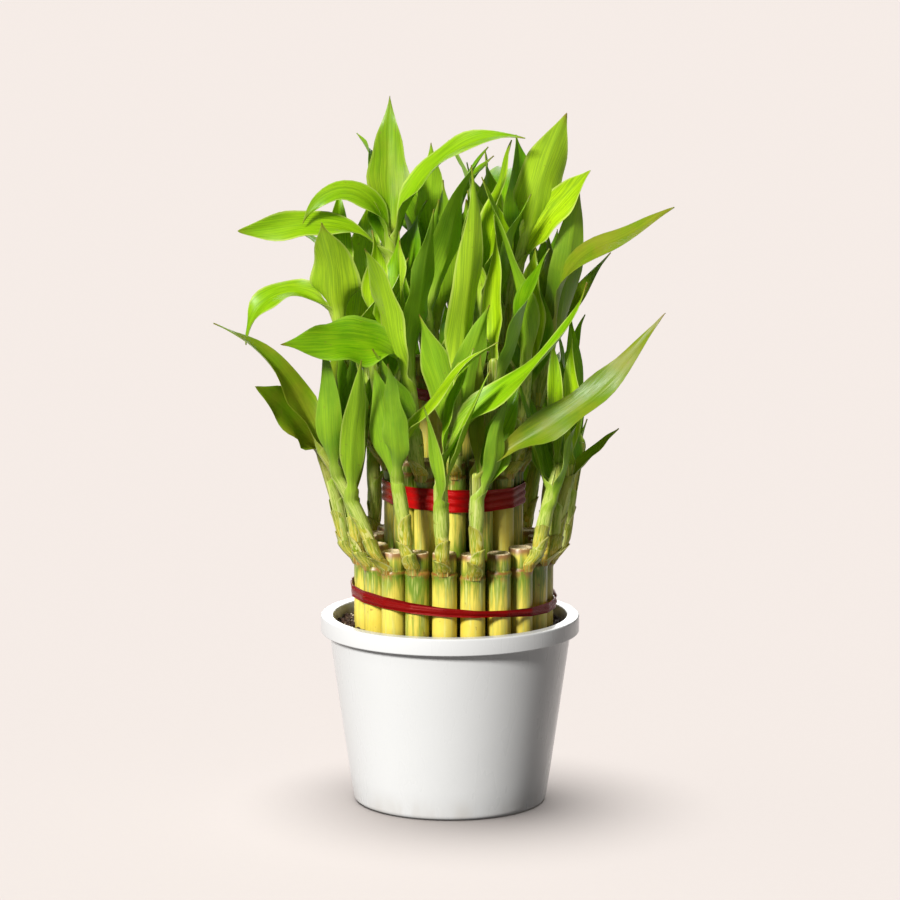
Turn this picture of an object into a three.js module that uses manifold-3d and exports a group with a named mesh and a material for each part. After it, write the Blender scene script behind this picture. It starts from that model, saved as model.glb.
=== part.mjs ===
// A lucky bamboo in its pot: three rings of cut canes stand in soil and are tied with red ribbons,
// and each cane carries one shoot with its leaves. Millimetres, +Z up, the origin under the middle
// of the pot on the surface that it stands on, and the side that a viewer sees faces -Y.

import * as THREE from "three";
import { mergeVertices } from "three/addons/utils/BufferGeometryUtils.js";
import Module from "manifold-3d";

// The pot, a plain tapered cup with a band at its rim
const RIM_RADIUS = 55;
const RIM_HEIGHT = 80.5;
const RIM_BAND = 7.2;
const WALL_TOP_RADIUS = 52.5;
const WALL_FOOT_RADIUS = 41.5;
const WALL = 2.8;
const FOOT_EDGE = 3;
const FLOOR_TOP = 4.5;
const INNER_ROUND = 2;
const RIM_ROUND = 0.8;
const POT_SIDES = 36;

// The soil fills the pot, and the canes stand in holes in it
const SOIL_TOP = 76.5;
const SOIL_DOME = 0.8;
const SOIL_RISE = 0.2;
const GAP = 0.3;
const CANE_DEPTH = 22;

// The canes: each ring's number, radius, height of the node that shoots, cut height above the soil
// and the direction of its first cane in degrees
const BUNDLE_X = 1.5;
const CANE_RADIUS = 5.35;
const CANE_SIDES = 7;
const NODE_RIDGE = 0.3;
const NODE_HALF = 1.3;
const CUT_TAPER = 0.98;
const RINGS = {
  outer: { count: 20, radius: 37.5, node: 27, top: 36.5, first: -95.8 },
  middle: { count: 13, radius: 24.4, node: 65.5, top: 73, first: -90 },
  inner: { count: 6, radius: 12, node: 106, top: 115, first: -120 },
  centre: { count: 1, radius: 0, node: 106, top: 117, first: -90 },
};
const BARE = ["outer 2", "outer 11", "centre 0"];

// The shoots: radius, and for those that can be seen apart, their length and lean out and sideways
const SHOOT_RADIUS = 2.7;
const SHOOT_TIP_RADIUS = 2.1;
const SHOOT_ROOT = 3;
const SHOOT_ELBOW = 4.8;
const SHOOT_SIDES = 5;
const SHOOT_STATIONS = [0, 0.16, 0.5, 1];
const SHOOT_LENGTH = { outer: 48, middle: 50, inner: 50 };
const SHOOTS = {
  "outer 16": [46, 0.24, 0.02],
  "outer 17": [50, 0.12, -0.1],
  "outer 18": [54, 0.32, -0.34],
  "outer 19": [52, 0.06, -0.12],
  "outer 0": [50, 0.06, -0.02],
  "outer 1": [46, 0.05, -0.02],
  "outer 3": [46, 0.16, 0.16],
  "outer 4": [44, 0.2, -0.05],
  "outer 6": [49, 0.12, -0.09],
  "middle 10": [71, 0.27, 0],
  "middle 12": [53, 0.1, -0.05],
  "middle 0": [34, 0.14, 0.02],
  "middle 2": [46, 0.1, 0],
  "middle 3": [60, 0.16, -0.06],
  "middle 4": [54, 0.2, 0],
  "inner 5": [60, 0.12, 0],
  "inner 0": [40, 0.1, 0],
  "inner 1": [34, 0.1, 0],
  "inner 2": [58, 0.16, -0.05],
};

// A lathe's first corner faces -Y
const LATHE_START = 90;

// The leaves that can be seen apart: the stalk, the height on its shoot from 0 to 1, then degrees
// from root to tip of the direction seen from above, of the rise and of the roll, then the length,
// the width, where the blade is widest (more is nearer the tip) and how blunt it is (less is blunter)
const SHOWN = [
  ["inner 5", 0.96, [97, 83], [79, 80, 80], [0, 0], 61, 19, 0.75, 0.9],
  ["inner 5", 0.9, [-150, -166, -165], [84, 56, -14, -70], [-30, -50], 58, 14, 0.8, 0.9],
  ["inner 5", 0.86, [-165, -172], [44, 18, -8, -2], [-10, -80], 68, 15, 1.7, 0.55],
  ["inner 5", 0.93, [-27, -13], [75, 57, 26, -10], [30, 50], 82, 17, 0.9, 0.8],
  ["inner 0", 0.6, [-50, -50], [84, 83], [0, 0], 54, 13, 0.8, 0.9],
  ["inner 1", 0.93, [30, 24], [84, 80, 74], [0, -20], 70, 19, 0.9, 0.8],
  ["inner 2", 0.96, [-30, -26], [76, 66], [-60, -60], 60, 21, 0.9, 0.7],
  ["inner 2", 0.84, [-18, -20], [60, 52, 48], [60, 60], 50, 19, 0.9, 0.7],
  ["middle 10", 0.88, [-100, -112], [70, 64, 58], [0, 0], 50, 23, 0.8, 0.8],
  ["middle 10", 0.96, [-172, -160], [42, 20, -18, -62, -84], [-40, -20], 51, 15, 0.9, 0.8],
  ["middle 11", 0.95, [-176, 176], [80, 80, 76], [30, 10], 62, 16, 0.85, 0.85],
  ["middle 12", 0.94, [-144, -150], [46, 12, 2, 2], [-50, -70], 62, 23, 0.85, 0.8],
  ["middle 12", 0.4, [-128, -128], [60, 52], [0, 0], 46, 13, 0.8, 0.9],
  ["middle 12", 0.88, [-38, -40], [79, 80], [4, 4], 70, 18, 0.8, 0.9],
  ["middle 0", 0.96, [-39, -44, -120], [82, 83, 79], [-15, 0], 101, 17, 0.75, 1.2],
  ["middle 0", 0.45, [-140, -152], [80, 74, 68], [44, 54], 58, 16, 0.9, 0.9],
  ["middle 0", 0.62, [-36, -26], [80, 74, 68], [-48, -56], 56, 15, 0.9, 0.9],
  ["middle 2", 0.95, [-90, -138, -157, -152], [82, 78, 70, 68], [25, -30], 88, 14, 0.8, 0.8],
  ["middle 3", 0.96, [-42, -26, -16], [80, 78, 46, 20, 34, 30], [30, 60], 84, 14, 1.3, 0.7],
  ["middle 3", 0.85, [0, -20], [72, 84, 82], [-60, -40], 72, 17, 0.9, 0.8],
  ["middle 4", 0.9, [-4, -4], [66, 50], [30, 30], 50, 13, 0.8, 0.9],
  ["outer 16", 0.96, [-142, -142], [60, 46, 32], [-65, -65], 49, 22, 0.9, 0.7],
  ["outer 17", 0.96, [-105, -105], [85, 78], [0, 0], 52, 13, 0.8, 0.9],
  ["outer 18", 0.96, [180, 180], [74, 62, 43, 22], [-60, 0], 72, 16, 0.8, 0.9],
  ["outer 19", 0.93, [-30, -19], [60, 56, 45, 32], [35, 35], 70, 15, 0.8, 0.9],
  ["outer 19", 0.7, [-138, -150], [78, 80, 74], [30, 40], 54, 15, 0.9, 0.9],
  ["outer 0", 0.96, [-17, -10, -12, -26], [66, 46, 38, 54, 74], [45, 20], 99, 15, 0.8, 0.8],
  ["outer 1", 0.96, [3, 3], [50, 30, 34, 52, 50], [60, 40], 103, 15, 0.85, 0.9],
  ["outer 1", 0.76, [30, 36], [70, 66, 62], [50, 40], 50, 15, 0.9, 0.9],
  ["outer 4", 0.86, [-13, -8], [50, 44], [30, 30], 30, 9, 0.8, 0.9],
];

// Arching leaves on the side that can't be seen, like those of the side that can
const UNSEEN = [
  ["inner 3", 0.93, [72, 84], [82, 60, 16, -20], [30, 20], 72, 16, 0.85, 0.8],
  ["inner 4", 0.9, [122, 108], [74, 50, 20, 6], [-20, -30], 66, 17, 0.8, 0.8],
  ["middle 5", 0.92, [50, 62], [70, 40, 0, -30], [20, 40], 66, 15, 0.85, 0.8],
  ["middle 7", 0.93, [118, 104], [70, 48, 18, -8], [-10, -30], 74, 17, 0.85, 0.8],
  ["middle 8", 0.9, [150, 160], [72, 50, 30, 24], [10, 20], 78, 16, 0.8, 0.9],
  ["outer 8", 0.93, [74, 84], [66, 42, 20, 10], [30, 40], 68, 15, 0.8, 0.9],
  ["outer 10", 0.94, [96, 84], [70, 46, 22, 30], [-20, 10], 74, 14, 0.85, 0.9],
  ["outer 13", 0.92, [112, 104], [64, 40, 10, -24], [-10, -30], 64, 15, 0.85, 0.8],
];

// The other leaves follow a rule: how many a shoot has, their rise at root and tip, length and
// width, and how low on the shoot the last one stands; the first is a young upright one. Each is
// turned, lifted or shortened until it stands clear of its neighbours, or left out
const FILL = {
  inner: { count: 6, rise: 82, tip: 55, length: 65, width: 20, low: 0.25 },
  middle: { count: 4, rise: 81, tip: 65, length: 66, width: 19, low: 0.37 },
  outer: { count: 4, rise: 81, tip: 62, length: 60, width: 12, low: 0.45 },
};
const TURNS = [150, 75, -85, 25, -140, 10];
const GROWTH_SEED = 634;
const ROOT_BOW = 24;
const SPEAR = { rise: 84, tip: 80, length: 0.85, width: 0.72 };
const RULE_ROLL = [55, 69];
const RULE_TURN = 32;
const RULE_FORM = { peak: 0.9, full: 0.9 };
const RULE_REACH = { sideways: 57, back: 68, height: 284 };
const TRY_SIZES = [1, 0.85, 0.7];
const TRY_RISES = [0, 6, -9];
const TRY_TURNS = [14, -14, 28, -28, 44, -44, 62, -62, 90, -90, 125, -125, 160];
const LEAF_CLEAR = 2.8;
const OWN_CLEAR = 2.4;
const STEM_CLEAR = 4.4;
const BUNDLE_CLEAR = 2.4;
const SAMPLE_STEPS = 22;
const SAMPLE_ROOT = 3;
const SAMPLE_NEAR = 4;
const SAMPLES_ACROSS = [-1, -0.5, 0, 0.5, 1];
const FOLD = 0.25;
const BLADE_THICKNESS = 1.3;
const TIP_HALF_WIDTH = 0.35;
const POINTED = 0.36;
const BLADE_STEPS = { byHand: 6, byRule: 4 };
const ROOT_OUT = 1.2;
const ROOT_WIDTH = 0.14;

// The ribbons: height above the soil, tilt to the left, width, thickness and the knot's direction
const RIBBONS = {
  ribbon_lower: { ring: "outer", height: 12.9, tilt: 3.1, width: 5.4, knot: 66 },
  ribbon_middle: { ring: "middle", height: 57.5, tilt: 0.6, width: 9.6, knot: 76 },
  ribbon_upper: { ring: "inner", height: 99, tilt: 0.3, width: 5.2, knot: 120 },
};
const RIBBON_THICKNESS = 0.9;
const RIBBON_GAP = 0.35;
const KNOT = 2.6;
const KNOT_DEPTH = 0.55;
const KNOT_OUT = 0.6;
const TAIL = 12;
const TAIL_OUT = 0.4;
const TAIL_LIFT = 1.6;
const TAIL_DROP = 3.2;
const TAIL_ROOT_HALF = 1;
const TAIL_TIP_HALF = 2.2;
const WRAP_POINTS = { outer: 2, middle: 2, inner: 3 };

const COLOURS = {
  pot: [0xf2f2f0, 0.35],
  soil: [0x2c211c, 0.95],
  ribbon: [0xb3121d, 0.35],
  cane: [0xc2b93a, 0.5],
  leaf: [0x6fae22, 0.4],
};

const wasm = await Module();
wasm.setup();

const radians = THREE.MathUtils.degToRad;
const smooth = (t) => t * t * (3 - 2 * t);
const vec = (x, y, z) => new THREE.Vector3(x, y, z);

// A repeatable draw, so that the plant grows alike each time
let seed = GROWTH_SEED;
function draw() {
  seed = (Math.imul(seed, 1664525) + 1013904223) >>> 0;
  return (seed / 4294967296) * 2 - 1;
}

// The value at t from 0 to 1 along a list of evenly spaced values
function between(values, t) {
  const x = t * (values.length - 1);
  const k = Math.min(Math.floor(x), values.length - 2);
  return values[k] + (values[k + 1] - values[k]) * (x - k);
}

function flat(degrees) {
  return vec(Math.cos(radians(degrees)), Math.sin(radians(degrees)), 0);
}

function heading(turn, rise) {
  const level = Math.cos(radians(rise));
  return flat(turn).multiplyScalar(level).setZ(Math.sin(radians(rise)));
}

// Every stalk's place and sizes, ring by ring
function stalks() {
  const list = [];
  for (const [ring, r] of Object.entries(RINGS)) {
    for (let i = 0; i < r.count; i += 1) {
      const turn = r.first + (360 / r.count) * i;
      const [thin, high, up, long, out, side] = [draw(), draw(), draw(), draw(), draw(), draw()];
      const axis = flat(turn).multiplyScalar(r.radius).add(vec(BUNDLE_X, 0, 0));
      const key = `${ring} ${i}`;
      list.push({
        key,
        ring,
        turn,
        axis,
        radius: CANE_RADIUS - 0.12 * (1 + thin),
        top: SOIL_TOP + r.top + high,
        node: SOIL_TOP + r.node + up,
        bare: BARE.includes(key),
        lean: SHOOTS[key] ?? [SHOOT_LENGTH[ring] + 6 * long, 0.12 + 0.06 * out, 0.08 * side],
      });
    }
  }
  return list;
}

// A point of a shoot's middle line, which leaves the cane at its node, bends up and leans
function shootPoint(stalk, s) {
  const [length, out, side] = stalk.lean;
  const bow = s * (0.6 + 0.4 * s) * length;
  const elbow = SHOOT_ROOT + SHOOT_ELBOW * smooth(Math.min(1, s / 0.2));
  const point = flat(stalk.turn).multiplyScalar(elbow + out * bow);
  point.addScaledVector(flat(stalk.turn + 90), side * bow);
  return point.add(stalk.axis).setZ(stalk.node + length * s);
}

// Where a leaf grows from a shoot, just under its skin on the leaf's side
function leafRoot(stalk, at, turn) {
  return shootPoint(stalk, at).addScaledVector(flat(turn), ROOT_OUT);
}

// Half of a blade's width at t, as a part of its full half width
function taper(leaf, t) {
  const belly = Math.sin(Math.PI * t ** leaf.peak) ** leaf.full * (1 - POINTED * t * t);
  return ROOT_WIDTH * (1 - t) ** 6 + (t < 1 ? belly : 0);
}

// The blade's middle line: its point, side and face directions and half width at each step
function midrib(leaf, steps) {
  const frames = [];
  const point = leaf.root.clone();
  for (let k = 0; k <= steps; k += 1) {
    const t = k / steps;
    if (k) {
      const mid = (k - 0.5) / steps;
      const step = heading(between(leaf.turn, mid), between(leaf.rise, mid));
      point.addScaledVector(step, leaf.length / steps);
    }
    const turn = between(leaf.turn, t);
    const along = heading(turn, between(leaf.rise, t));
    const level = flat(turn + 90);
    const up = along.clone().cross(level);
    const roll = radians(between(leaf.roll, t));
    const side = level.clone().multiplyScalar(Math.cos(roll)).addScaledVector(up, Math.sin(roll));
    const face = up.multiplyScalar(Math.cos(roll)).addScaledVector(level, -Math.sin(roll));
    frames.push({ point: point.clone(), side, face, half: (leaf.width / 2) * taper(leaf, t) });
  }
  return frames;
}

// Points spread over a blade, by which its distance to its neighbours is judged
function spread(leaf) {
  const points = [];
  midrib(leaf, SAMPLE_STEPS).slice(SAMPLE_ROOT).forEach(({ point, side, face, half }) => {
    for (const u of SAMPLES_ACROSS) {
      const p = point.clone().addScaledVector(side, half * u);
      points.push(p.addScaledVector(face, Math.abs(u) * half * FOLD));
    }
  });
  return { points, box: new THREE.Box3().setFromPoints(points) };
}

function nearer(points, others, distance) {
  const limit = distance * distance;
  return points.some((p) => others.some((q) => p.distanceToSquared(q) < limit));
}

// Whether a blade of the rule stays within the plant's own outline
function reaches({ box }) {
  const { sideways, back, height } = RULE_REACH;
  const aside = Math.max(box.max.x - BUNDLE_X, BUNDLE_X - box.min.x);
  return aside < sideways && box.max.y < back && -box.min.y < back && box.max.z < height;
}

// Whether a blade keeps clear of the canes, the other shoots, the knots and the leaves so far
function clear(leaf, patch, grown, stems) {
  for (const p of patch.points) {
    const out = Math.hypot(p.x - BUNDLE_X, p.y) - CANE_RADIUS - BUNDLE_CLEAR;
    for (const r of Object.values(RINGS)) {
      if (out < r.radius && p.z < SOIL_TOP + r.top + BUNDLE_CLEAR) return false;
    }
  }
  const reach = patch.box.clone().expandByScalar(STEM_CLEAR);
  for (const stem of stems) {
    if (stem.key === leaf.key || !stem.box.intersectsBox(reach)) continue;
    if (nearer(patch.points, stem.points, STEM_CLEAR)) return false;
  }
  for (const other of grown) {
    if (!other.patch.box.intersectsBox(reach)) continue;
    const own = other.key === leaf.key;
    const start = own ? SAMPLE_NEAR * SAMPLES_ACROSS.length : 0;
    const limit = own ? OWN_CLEAR : LEAF_CLEAR;
    if (nearer(patch.points.slice(start), other.patch.points.slice(start), limit)) return false;
  }
  return true;
}

function placedLeaf(row, byKey) {
  const [key, at, turn, rise, roll, length, width, peak, full] = row;
  const root = leafRoot(byKey.get(key), at, turn[0]);
  const leaf = { key, root, turn, rise, roll, length, width, peak, full };
  leaf.patch = spread(leaf);
  return leaf;
}

// The turns, rises and sizes that a leaf of the rule tries, nearest to its own first
function* tries() {
  yield [0, 0, 1];
  for (const size of TRY_SIZES) {
    for (const lift of TRY_RISES) {
      for (const swing of TRY_TURNS) yield [swing, lift, size];
    }
  }
}

function filledLeaf(stalk, n, number, grown, stems) {
  const rule = FILL[stalk.ring];
  const [a, b, c, d, e, f] = [draw(), draw(), draw(), draw(), draw(), draw()];
  const placed = grown.filter((leaf) => leaf.key === stalk.key && leaf.byHand).length;
  if (n >= rule.count - Math.min(placed, 2)) return null;
  const young = n === 0;
  const turn = stalk.turn + (number % 2 ? -1 : 1) * TURNS[n] + 16 * a;
  const rise = young ? SPEAR.rise : rule.rise + 5 * b;
  const tip = young ? SPEAR.tip + 6 * d : rule.tip + 16 * d;
  const length = rule.length * (1 + 0.16 * e) * (young ? SPEAR.length : 1);
  const width = rule.width * (1 + 0.14 * f) * (young ? SPEAR.width : 1);
  const at = 0.96 - (1 - rule.low) * (n / (rule.count - 1));
  for (const [swing, lift, size] of tries()) {
    const leaf = {
      key: stalk.key,
      root: leafRoot(stalk, at, turn + swing),
      turn: [turn + swing, turn + swing + RULE_TURN * c],
      rise: [rise - (young ? 0 : ROOT_BOW), Math.min(88, rise + lift), tip + lift],
      roll: [RULE_ROLL[0] * f, RULE_ROLL[1] * c],
      length: length * size,
      width: width * (0.7 + 0.3 * size),
      ...RULE_FORM,
    };
    leaf.patch = spread(leaf);
    if (reaches(leaf.patch) && clear(leaf, leaf.patch, grown, stems)) return leaf;
  }
  return null;
}

// All leaves: the ones placed by hand, then the others turn by turn over all shoots
function leaves(all) {
  const byKey = new Map(all.map((stalk) => [stalk.key, stalk]));
  const stems = all.filter((stalk) => !stalk.bare).map((stalk) => {
    const points = [...Array(16).keys()].map((k) => shootPoint(stalk, 0.1 + 0.06 * k));
    return { key: stalk.key, points, box: new THREE.Box3().setFromPoints(points) };
  });
  for (const ribbon of Object.values(RIBBONS)) {
    const points = knotPoints(ribbon);
    stems.push({ key: "knot", points, box: new THREE.Box3().setFromPoints(points) });
  }
  const grown = [...SHOWN, ...UNSEEN].map((row) => ({ ...placedLeaf(row, byKey), byHand: true }));
  const order = ["inner", "middle", "outer"].flatMap((ring) => all.filter((s) => s.ring === ring));
  for (let n = 0; n < TURNS.length; n += 1) {
    order.forEach((stalk, number) => {
      const leaf = stalk.bare ? null : filledLeaf(stalk, n, number, grown, stems);
      if (leaf) grown.push(leaf);
    });
  }
  return grown;
}

// A closed solid of a geometry, with its shared corners merged
function solid(geometry) {
  geometry.deleteAttribute("normal");
  geometry.deleteAttribute("uv");
  const merged = mergeVertices(geometry, 1e-5);
  return new wasm.Manifold(new wasm.Mesh({
    numProp: 3,
    vertProperties: merged.attributes.position.array,
    triVerts: Uint32Array.from(merged.index.array),
  }));
}

function turned(outline, sides, turn = 0) {
  const lathe = new THREE.LatheGeometry(outline.map(([r, z]) => new THREE.Vector2(r, z)), sides);
  return lathe.rotateX(Math.PI / 2).rotateZ(radians(turn + LATHE_START));
}

// A solid through sections of as many points each, from the first to the last or back to the first.
// The two sides of a thin sheet are split alike, so that they never cross where it twists
function loft(sections, { closed = false, sheet = false } = {}) {
  const n = sections[0].length;
  const index = [];
  const bands = closed ? sections.length : sections.length - 1;
  for (let k = 0; k < bands; k += 1) {
    const low = k * n;
    const high = ((k + 1) % sections.length) * n;
    for (let j = 0; j < n; j += 1) {
      const next = (j + 1) % n;
      if (sheet && j >= n / 2) {
        index.push(low + j, low + next, high + j, low + next, high + next, high + j);
      } else {
        index.push(low + j, low + next, high + next, low + j, high + next, high + j);
      }
    }
  }
  if (!closed) {
    const last = (sections.length - 1) * n;
    for (let j = 1; j < n - 1; j += 1) {
      const a = (j + 1) % n;
      const b = (j + 2) % n;
      index.push(1, b, a, last + 1, last + a, last + b);
    }
  }
  const geometry = new THREE.BufferGeometry().setFromPoints(sections.flat());
  return geometry.setIndex(index);
}

function blade(leaf) {
  const steps = leaf.byHand ? BLADE_STEPS.byHand : BLADE_STEPS.byRule;
  const sections = midrib(leaf, steps).map(({ point, side, face, half }, k) => {
    const width = Math.max(half, TIP_HALF_WIDTH);
    const thick = (BLADE_THICKNESS / 2) * (k === steps ? 0.5 : 1);
    const at = (s, f) => point.clone().addScaledVector(side, s).addScaledVector(face, f);
    return [at(width, width * FOLD), at(0, thick), at(-width, width * FOLD), at(0, -thick)];
  });
  return solid(loft(sections, { sheet: true }));
}

function shoot(stalk) {
  const sections = SHOOT_STATIONS.map((s) => {
    const radius = SHOOT_RADIUS + (SHOOT_TIP_RADIUS - SHOOT_RADIUS) * s;
    const middle = shootPoint(stalk, s);
    return [...Array(SHOOT_SIDES).keys()].map((j) => {
      const corner = flat(stalk.turn + (360 / SHOOT_SIDES) * j).multiplyScalar(radius);
      return corner.add(middle);
    });
  });
  return solid(loft(sections));
}

function cane(stalk) {
  const { radius, node, top } = stalk;
  const outline = [
    [0, SOIL_TOP - CANE_DEPTH],
    [radius, SOIL_TOP - CANE_DEPTH],
    [radius + NODE_RIDGE, node],
    [radius * CUT_TAPER, node + NODE_HALF],
    [radius * CUT_TAPER, top],
    [0, top],
  ];
  const geometry = turned(outline, CANE_SIDES, stalk.turn);
  return solid(geometry.translate(stalk.axis.x, stalk.axis.y, 0));
}

function wallRadius(z) {
  const reach = (z - FOOT_EDGE) / (RIM_HEIGHT - FOOT_EDGE);
  return WALL_FOOT_RADIUS + (WALL_TOP_RADIUS - WALL_FOOT_RADIUS) * reach;
}

function innerRadius(z) {
  return wallRadius(z) - WALL;
}

function pot() {
  const bandLow = RIM_HEIGHT - RIM_BAND;
  return solid(turned([
    [0, 0],
    [WALL_FOOT_RADIUS - FOOT_EDGE, 0],
    [WALL_FOOT_RADIUS - FOOT_EDGE * 0.35, FOOT_EDGE * 0.3],
    [WALL_FOOT_RADIUS, FOOT_EDGE],
    [wallRadius(bandLow), bandLow],
    [RIM_RADIUS - RIM_ROUND / 2, bandLow],
    [RIM_RADIUS, bandLow + RIM_ROUND],
    [RIM_RADIUS, RIM_HEIGHT - RIM_ROUND],
    [RIM_RADIUS - RIM_ROUND, RIM_HEIGHT],
    [innerRadius(RIM_HEIGHT) + RIM_ROUND / 2, RIM_HEIGHT],
    [innerRadius(RIM_HEIGHT), RIM_HEIGHT - RIM_ROUND],
    [innerRadius(FLOOR_TOP + INNER_ROUND), FLOOR_TOP + INNER_ROUND],
    [innerRadius(FLOOR_TOP) - INNER_ROUND, FLOOR_TOP],
    [0, FLOOR_TOP],
  ], POT_SIDES));
}

// The corners of a regular shape seen from above
function corners(x, y, radius, sides, turn = 0) {
  return [...Array(sides).keys()].map((j) => {
    const corner = flat(turn + (360 / sides) * j).multiplyScalar(radius);
    return new THREE.Vector2(x + corner.x, y + corner.y);
  });
}

// A surface grown from rings of corners: walls between two rings and floors across one
function surface() {
  const points = [];
  const index = [];
  const wall = (upper, lower) => {
    const n = upper.length;
    const start = points.length;
    points.push(...upper, ...lower);
    for (let j = 0; j < n; j += 1) {
      const next = (j + 1) % n;
      const [a, b, c, d] = [n + j, n + next, next, j].map((corner) => start + corner);
      index.push(a, b, c, a, c, d);
    }
  };
  const floor = (ring) => {
    const start = points.length;
    points.push(...ring);
    for (let j = 1; j < ring.length - 1; j += 1) index.push(start, start + j, start + j + 1);
  };
  const sheet = (ring, holes, height) => {
    const start = points.length;
    points.push(...[ring, ...holes].flat().map((p) => vec(p.x, p.y, height(p))));
    index.push(...THREE.ShapeUtils.triangulateShape(ring, holes).flat().map((k) => start + k));
  };
  return { points, index, wall, floor, sheet };
}

// The soil is low at the pot's wall and a little higher in the middle, and each cane's hole is blind
function soil(all) {
  const low = FLOOR_TOP + GAP;
  const rim = innerRadius(SOIL_TOP - SOIL_DOME) - GAP;
  const top = (p) => SOIL_TOP + SOIL_RISE - (SOIL_DOME + SOIL_RISE) * (p.length() / rim) ** 2;
  const level = (z) => () => z;
  const lift = (ring, height) => ring.map((p) => vec(p.x, p.y, height(p)));
  const ring = (radius) => corners(0, 0, radius, POT_SIDES);
  const holes = all.map(({ axis, radius, turn }) => {
    return corners(axis.x, axis.y, radius + GAP, CANE_SIDES, turn);
  });
  const body = surface();
  const round = lift(ring(innerRadius(low + INNER_ROUND) - GAP), level(low + INNER_ROUND));
  const foot = lift(ring(innerRadius(low) - GAP - INNER_ROUND), level(low));
  body.sheet(ring(rim), holes, top);
  body.wall(lift(ring(rim), top), round);
  body.wall(round, foot);
  body.floor([...foot].reverse());
  for (const hole of holes) {
    const bottom = lift(hole, level(SOIL_TOP - CANE_DEPTH - GAP));
    body.wall(bottom, lift(hole, top));
    body.floor(bottom);
  }
  return solid(new THREE.BufferGeometry().setFromPoints(body.points).setIndex(body.index));
}

function ribbonHeight(ribbon, degrees) {
  return SOIL_TOP + ribbon.height - ribbon.tilt * Math.cos(radians(degrees));
}

// A point out from the middle of a bundle, in a direction and at a height
function around(out, degrees, z) {
  return flat(degrees).multiplyScalar(out).add(vec(BUNDLE_X, 0, z));
}

// A ribbon lies on the canes' outer sides and runs straight from cane to cane
function band(ribbon) {
  const ring = RINGS[ribbon.ring];
  const share = 360 / ring.count;
  const points = WRAP_POINTS[ribbon.ring];
  const inner = CANE_RADIUS + RIBBON_GAP;
  const outer = inner + RIBBON_THICKNESS;
  const half = ribbon.width / 2;
  const sections = [];
  for (let i = 0; i < ring.count; i += 1) {
    const middle = ring.first + share * i;
    for (let j = 0; j < points; j += 1) {
      const degrees = middle + share * ((j + 0.5) / points - 0.5);
      const base = around(ring.radius, middle, ribbonHeight(ribbon, degrees));
      const at = (out, up) => flat(degrees).multiplyScalar(out).add(base).add(vec(0, 0, up));
      sections.push([at(inner, half), at(outer, half), at(outer, -half), at(inner, -half)]);
    }
  }
  return solid(loft(sections, { closed: true }));
}

// How far out from the bundle's middle the outer face of a ribbon is
function ribbonReach(ribbon) {
  return RINGS[ribbon.ring].radius + CANE_RADIUS + RIBBON_GAP + RIBBON_THICKNESS;
}

function knotMiddle(ribbon) {
  return around(ribbonReach(ribbon) + KNOT_OUT, ribbon.knot, ribbonHeight(ribbon, ribbon.knot));
}

// A tail runs from the knot to one hand, stands off the ribbon a little and droops
function tailPoint(ribbon, hand, s) {
  const out = ribbonReach(ribbon) + TAIL_OUT + TAIL_LIFT * Math.sin(Math.PI * s * 0.6);
  const degrees = ribbon.knot + THREE.MathUtils.radToDeg((hand * TAIL * s) / out);
  return around(out, degrees, ribbonHeight(ribbon, ribbon.knot) - TAIL_DROP * s * s);
}

function knotPoints(ribbon) {
  const tails = [-1, 1].flatMap((hand) => [0.3, 0.6, 1].map((s) => tailPoint(ribbon, hand, s)));
  return [knotMiddle(ribbon), ...tails];
}

function tail(ribbon, hand) {
  const out = flat(ribbon.knot).multiplyScalar(RIBBON_THICKNESS / 2);
  const sections = [0, 0.5, 1].map((s) => {
    const middle = tailPoint(ribbon, hand, s);
    const half = TAIL_ROOT_HALF + (TAIL_TIP_HALF - TAIL_ROOT_HALF) * s;
    const at = (side, up) => middle.clone().addScaledVector(out, side).add(vec(0, 0, up * half));
    const section = [at(-1, -1), at(1, -1), at(1, 1), at(-1, 1)];
    return hand > 0 ? section.reverse() : section;
  });
  return solid(loft(sections));
}

function ribbonSolid(ribbon) {
  const knot = new THREE.SphereGeometry(KNOT, 6, 4).scale(1, KNOT_DEPTH, 1);
  knot.rotateZ(radians(ribbon.knot + 90)).translate(...knotMiddle(ribbon).toArray());
  return band(ribbon).add(solid(knot)).add(tail(ribbon, -1)).add(tail(ribbon, 1));
}

function piece(name, body, look) {
  const { vertProperties, triVerts } = body.getMesh();
  const geometry = new THREE.BufferGeometry();
  geometry.setAttribute("position", new THREE.BufferAttribute(vertProperties, 3));
  geometry.setIndex(new THREE.BufferAttribute(triVerts, 1));
  const [color, roughness] = COLOURS[look];
  const mesh = new THREE.Mesh(geometry, new THREE.MeshStandardMaterial({ color, roughness }));
  mesh.name = name;
  return mesh;
}

function stalkName(stalk) {
  const number = Number(stalk.key.split(" ")[1]) + 1;
  return `${stalk.ring}_stalk_${String(number).padStart(2, "0")}`;
}

const plant = new THREE.Group();
const all = stalks();
const grown = leaves(all);
plant.add(piece("pot", pot(), "pot"), piece("soil", soil(all), "soil"));
for (const [name, ribbon] of Object.entries(RIBBONS)) {
  plant.add(piece(name, ribbonSolid(ribbon), "ribbon"));
}
for (const stalk of all) {
  let body = cane(stalk);
  if (!stalk.bare) {
    body = body.add(shoot(stalk));
    for (const leaf of grown.filter((one) => one.key === stalk.key)) body = body.add(blade(leaf));
  }
  plant.add(piece(stalkName(stalk), body, stalk.bare ? "cane" : "leaf"));
}

export default plant;
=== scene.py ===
"""The looks of the lucky bamboo in its pot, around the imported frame.

Each stalk's solid is replaced by a cane and by a shoot with its leaves, which grow by the same rule
as the solids and keep their form. Sizes are in millimetres until a mesh is made in metres.
"""

import math

import bmesh
import bpy
import numpy as np
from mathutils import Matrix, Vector, noise
from mathutils.geometry import delaunay_2d_cdt

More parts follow.
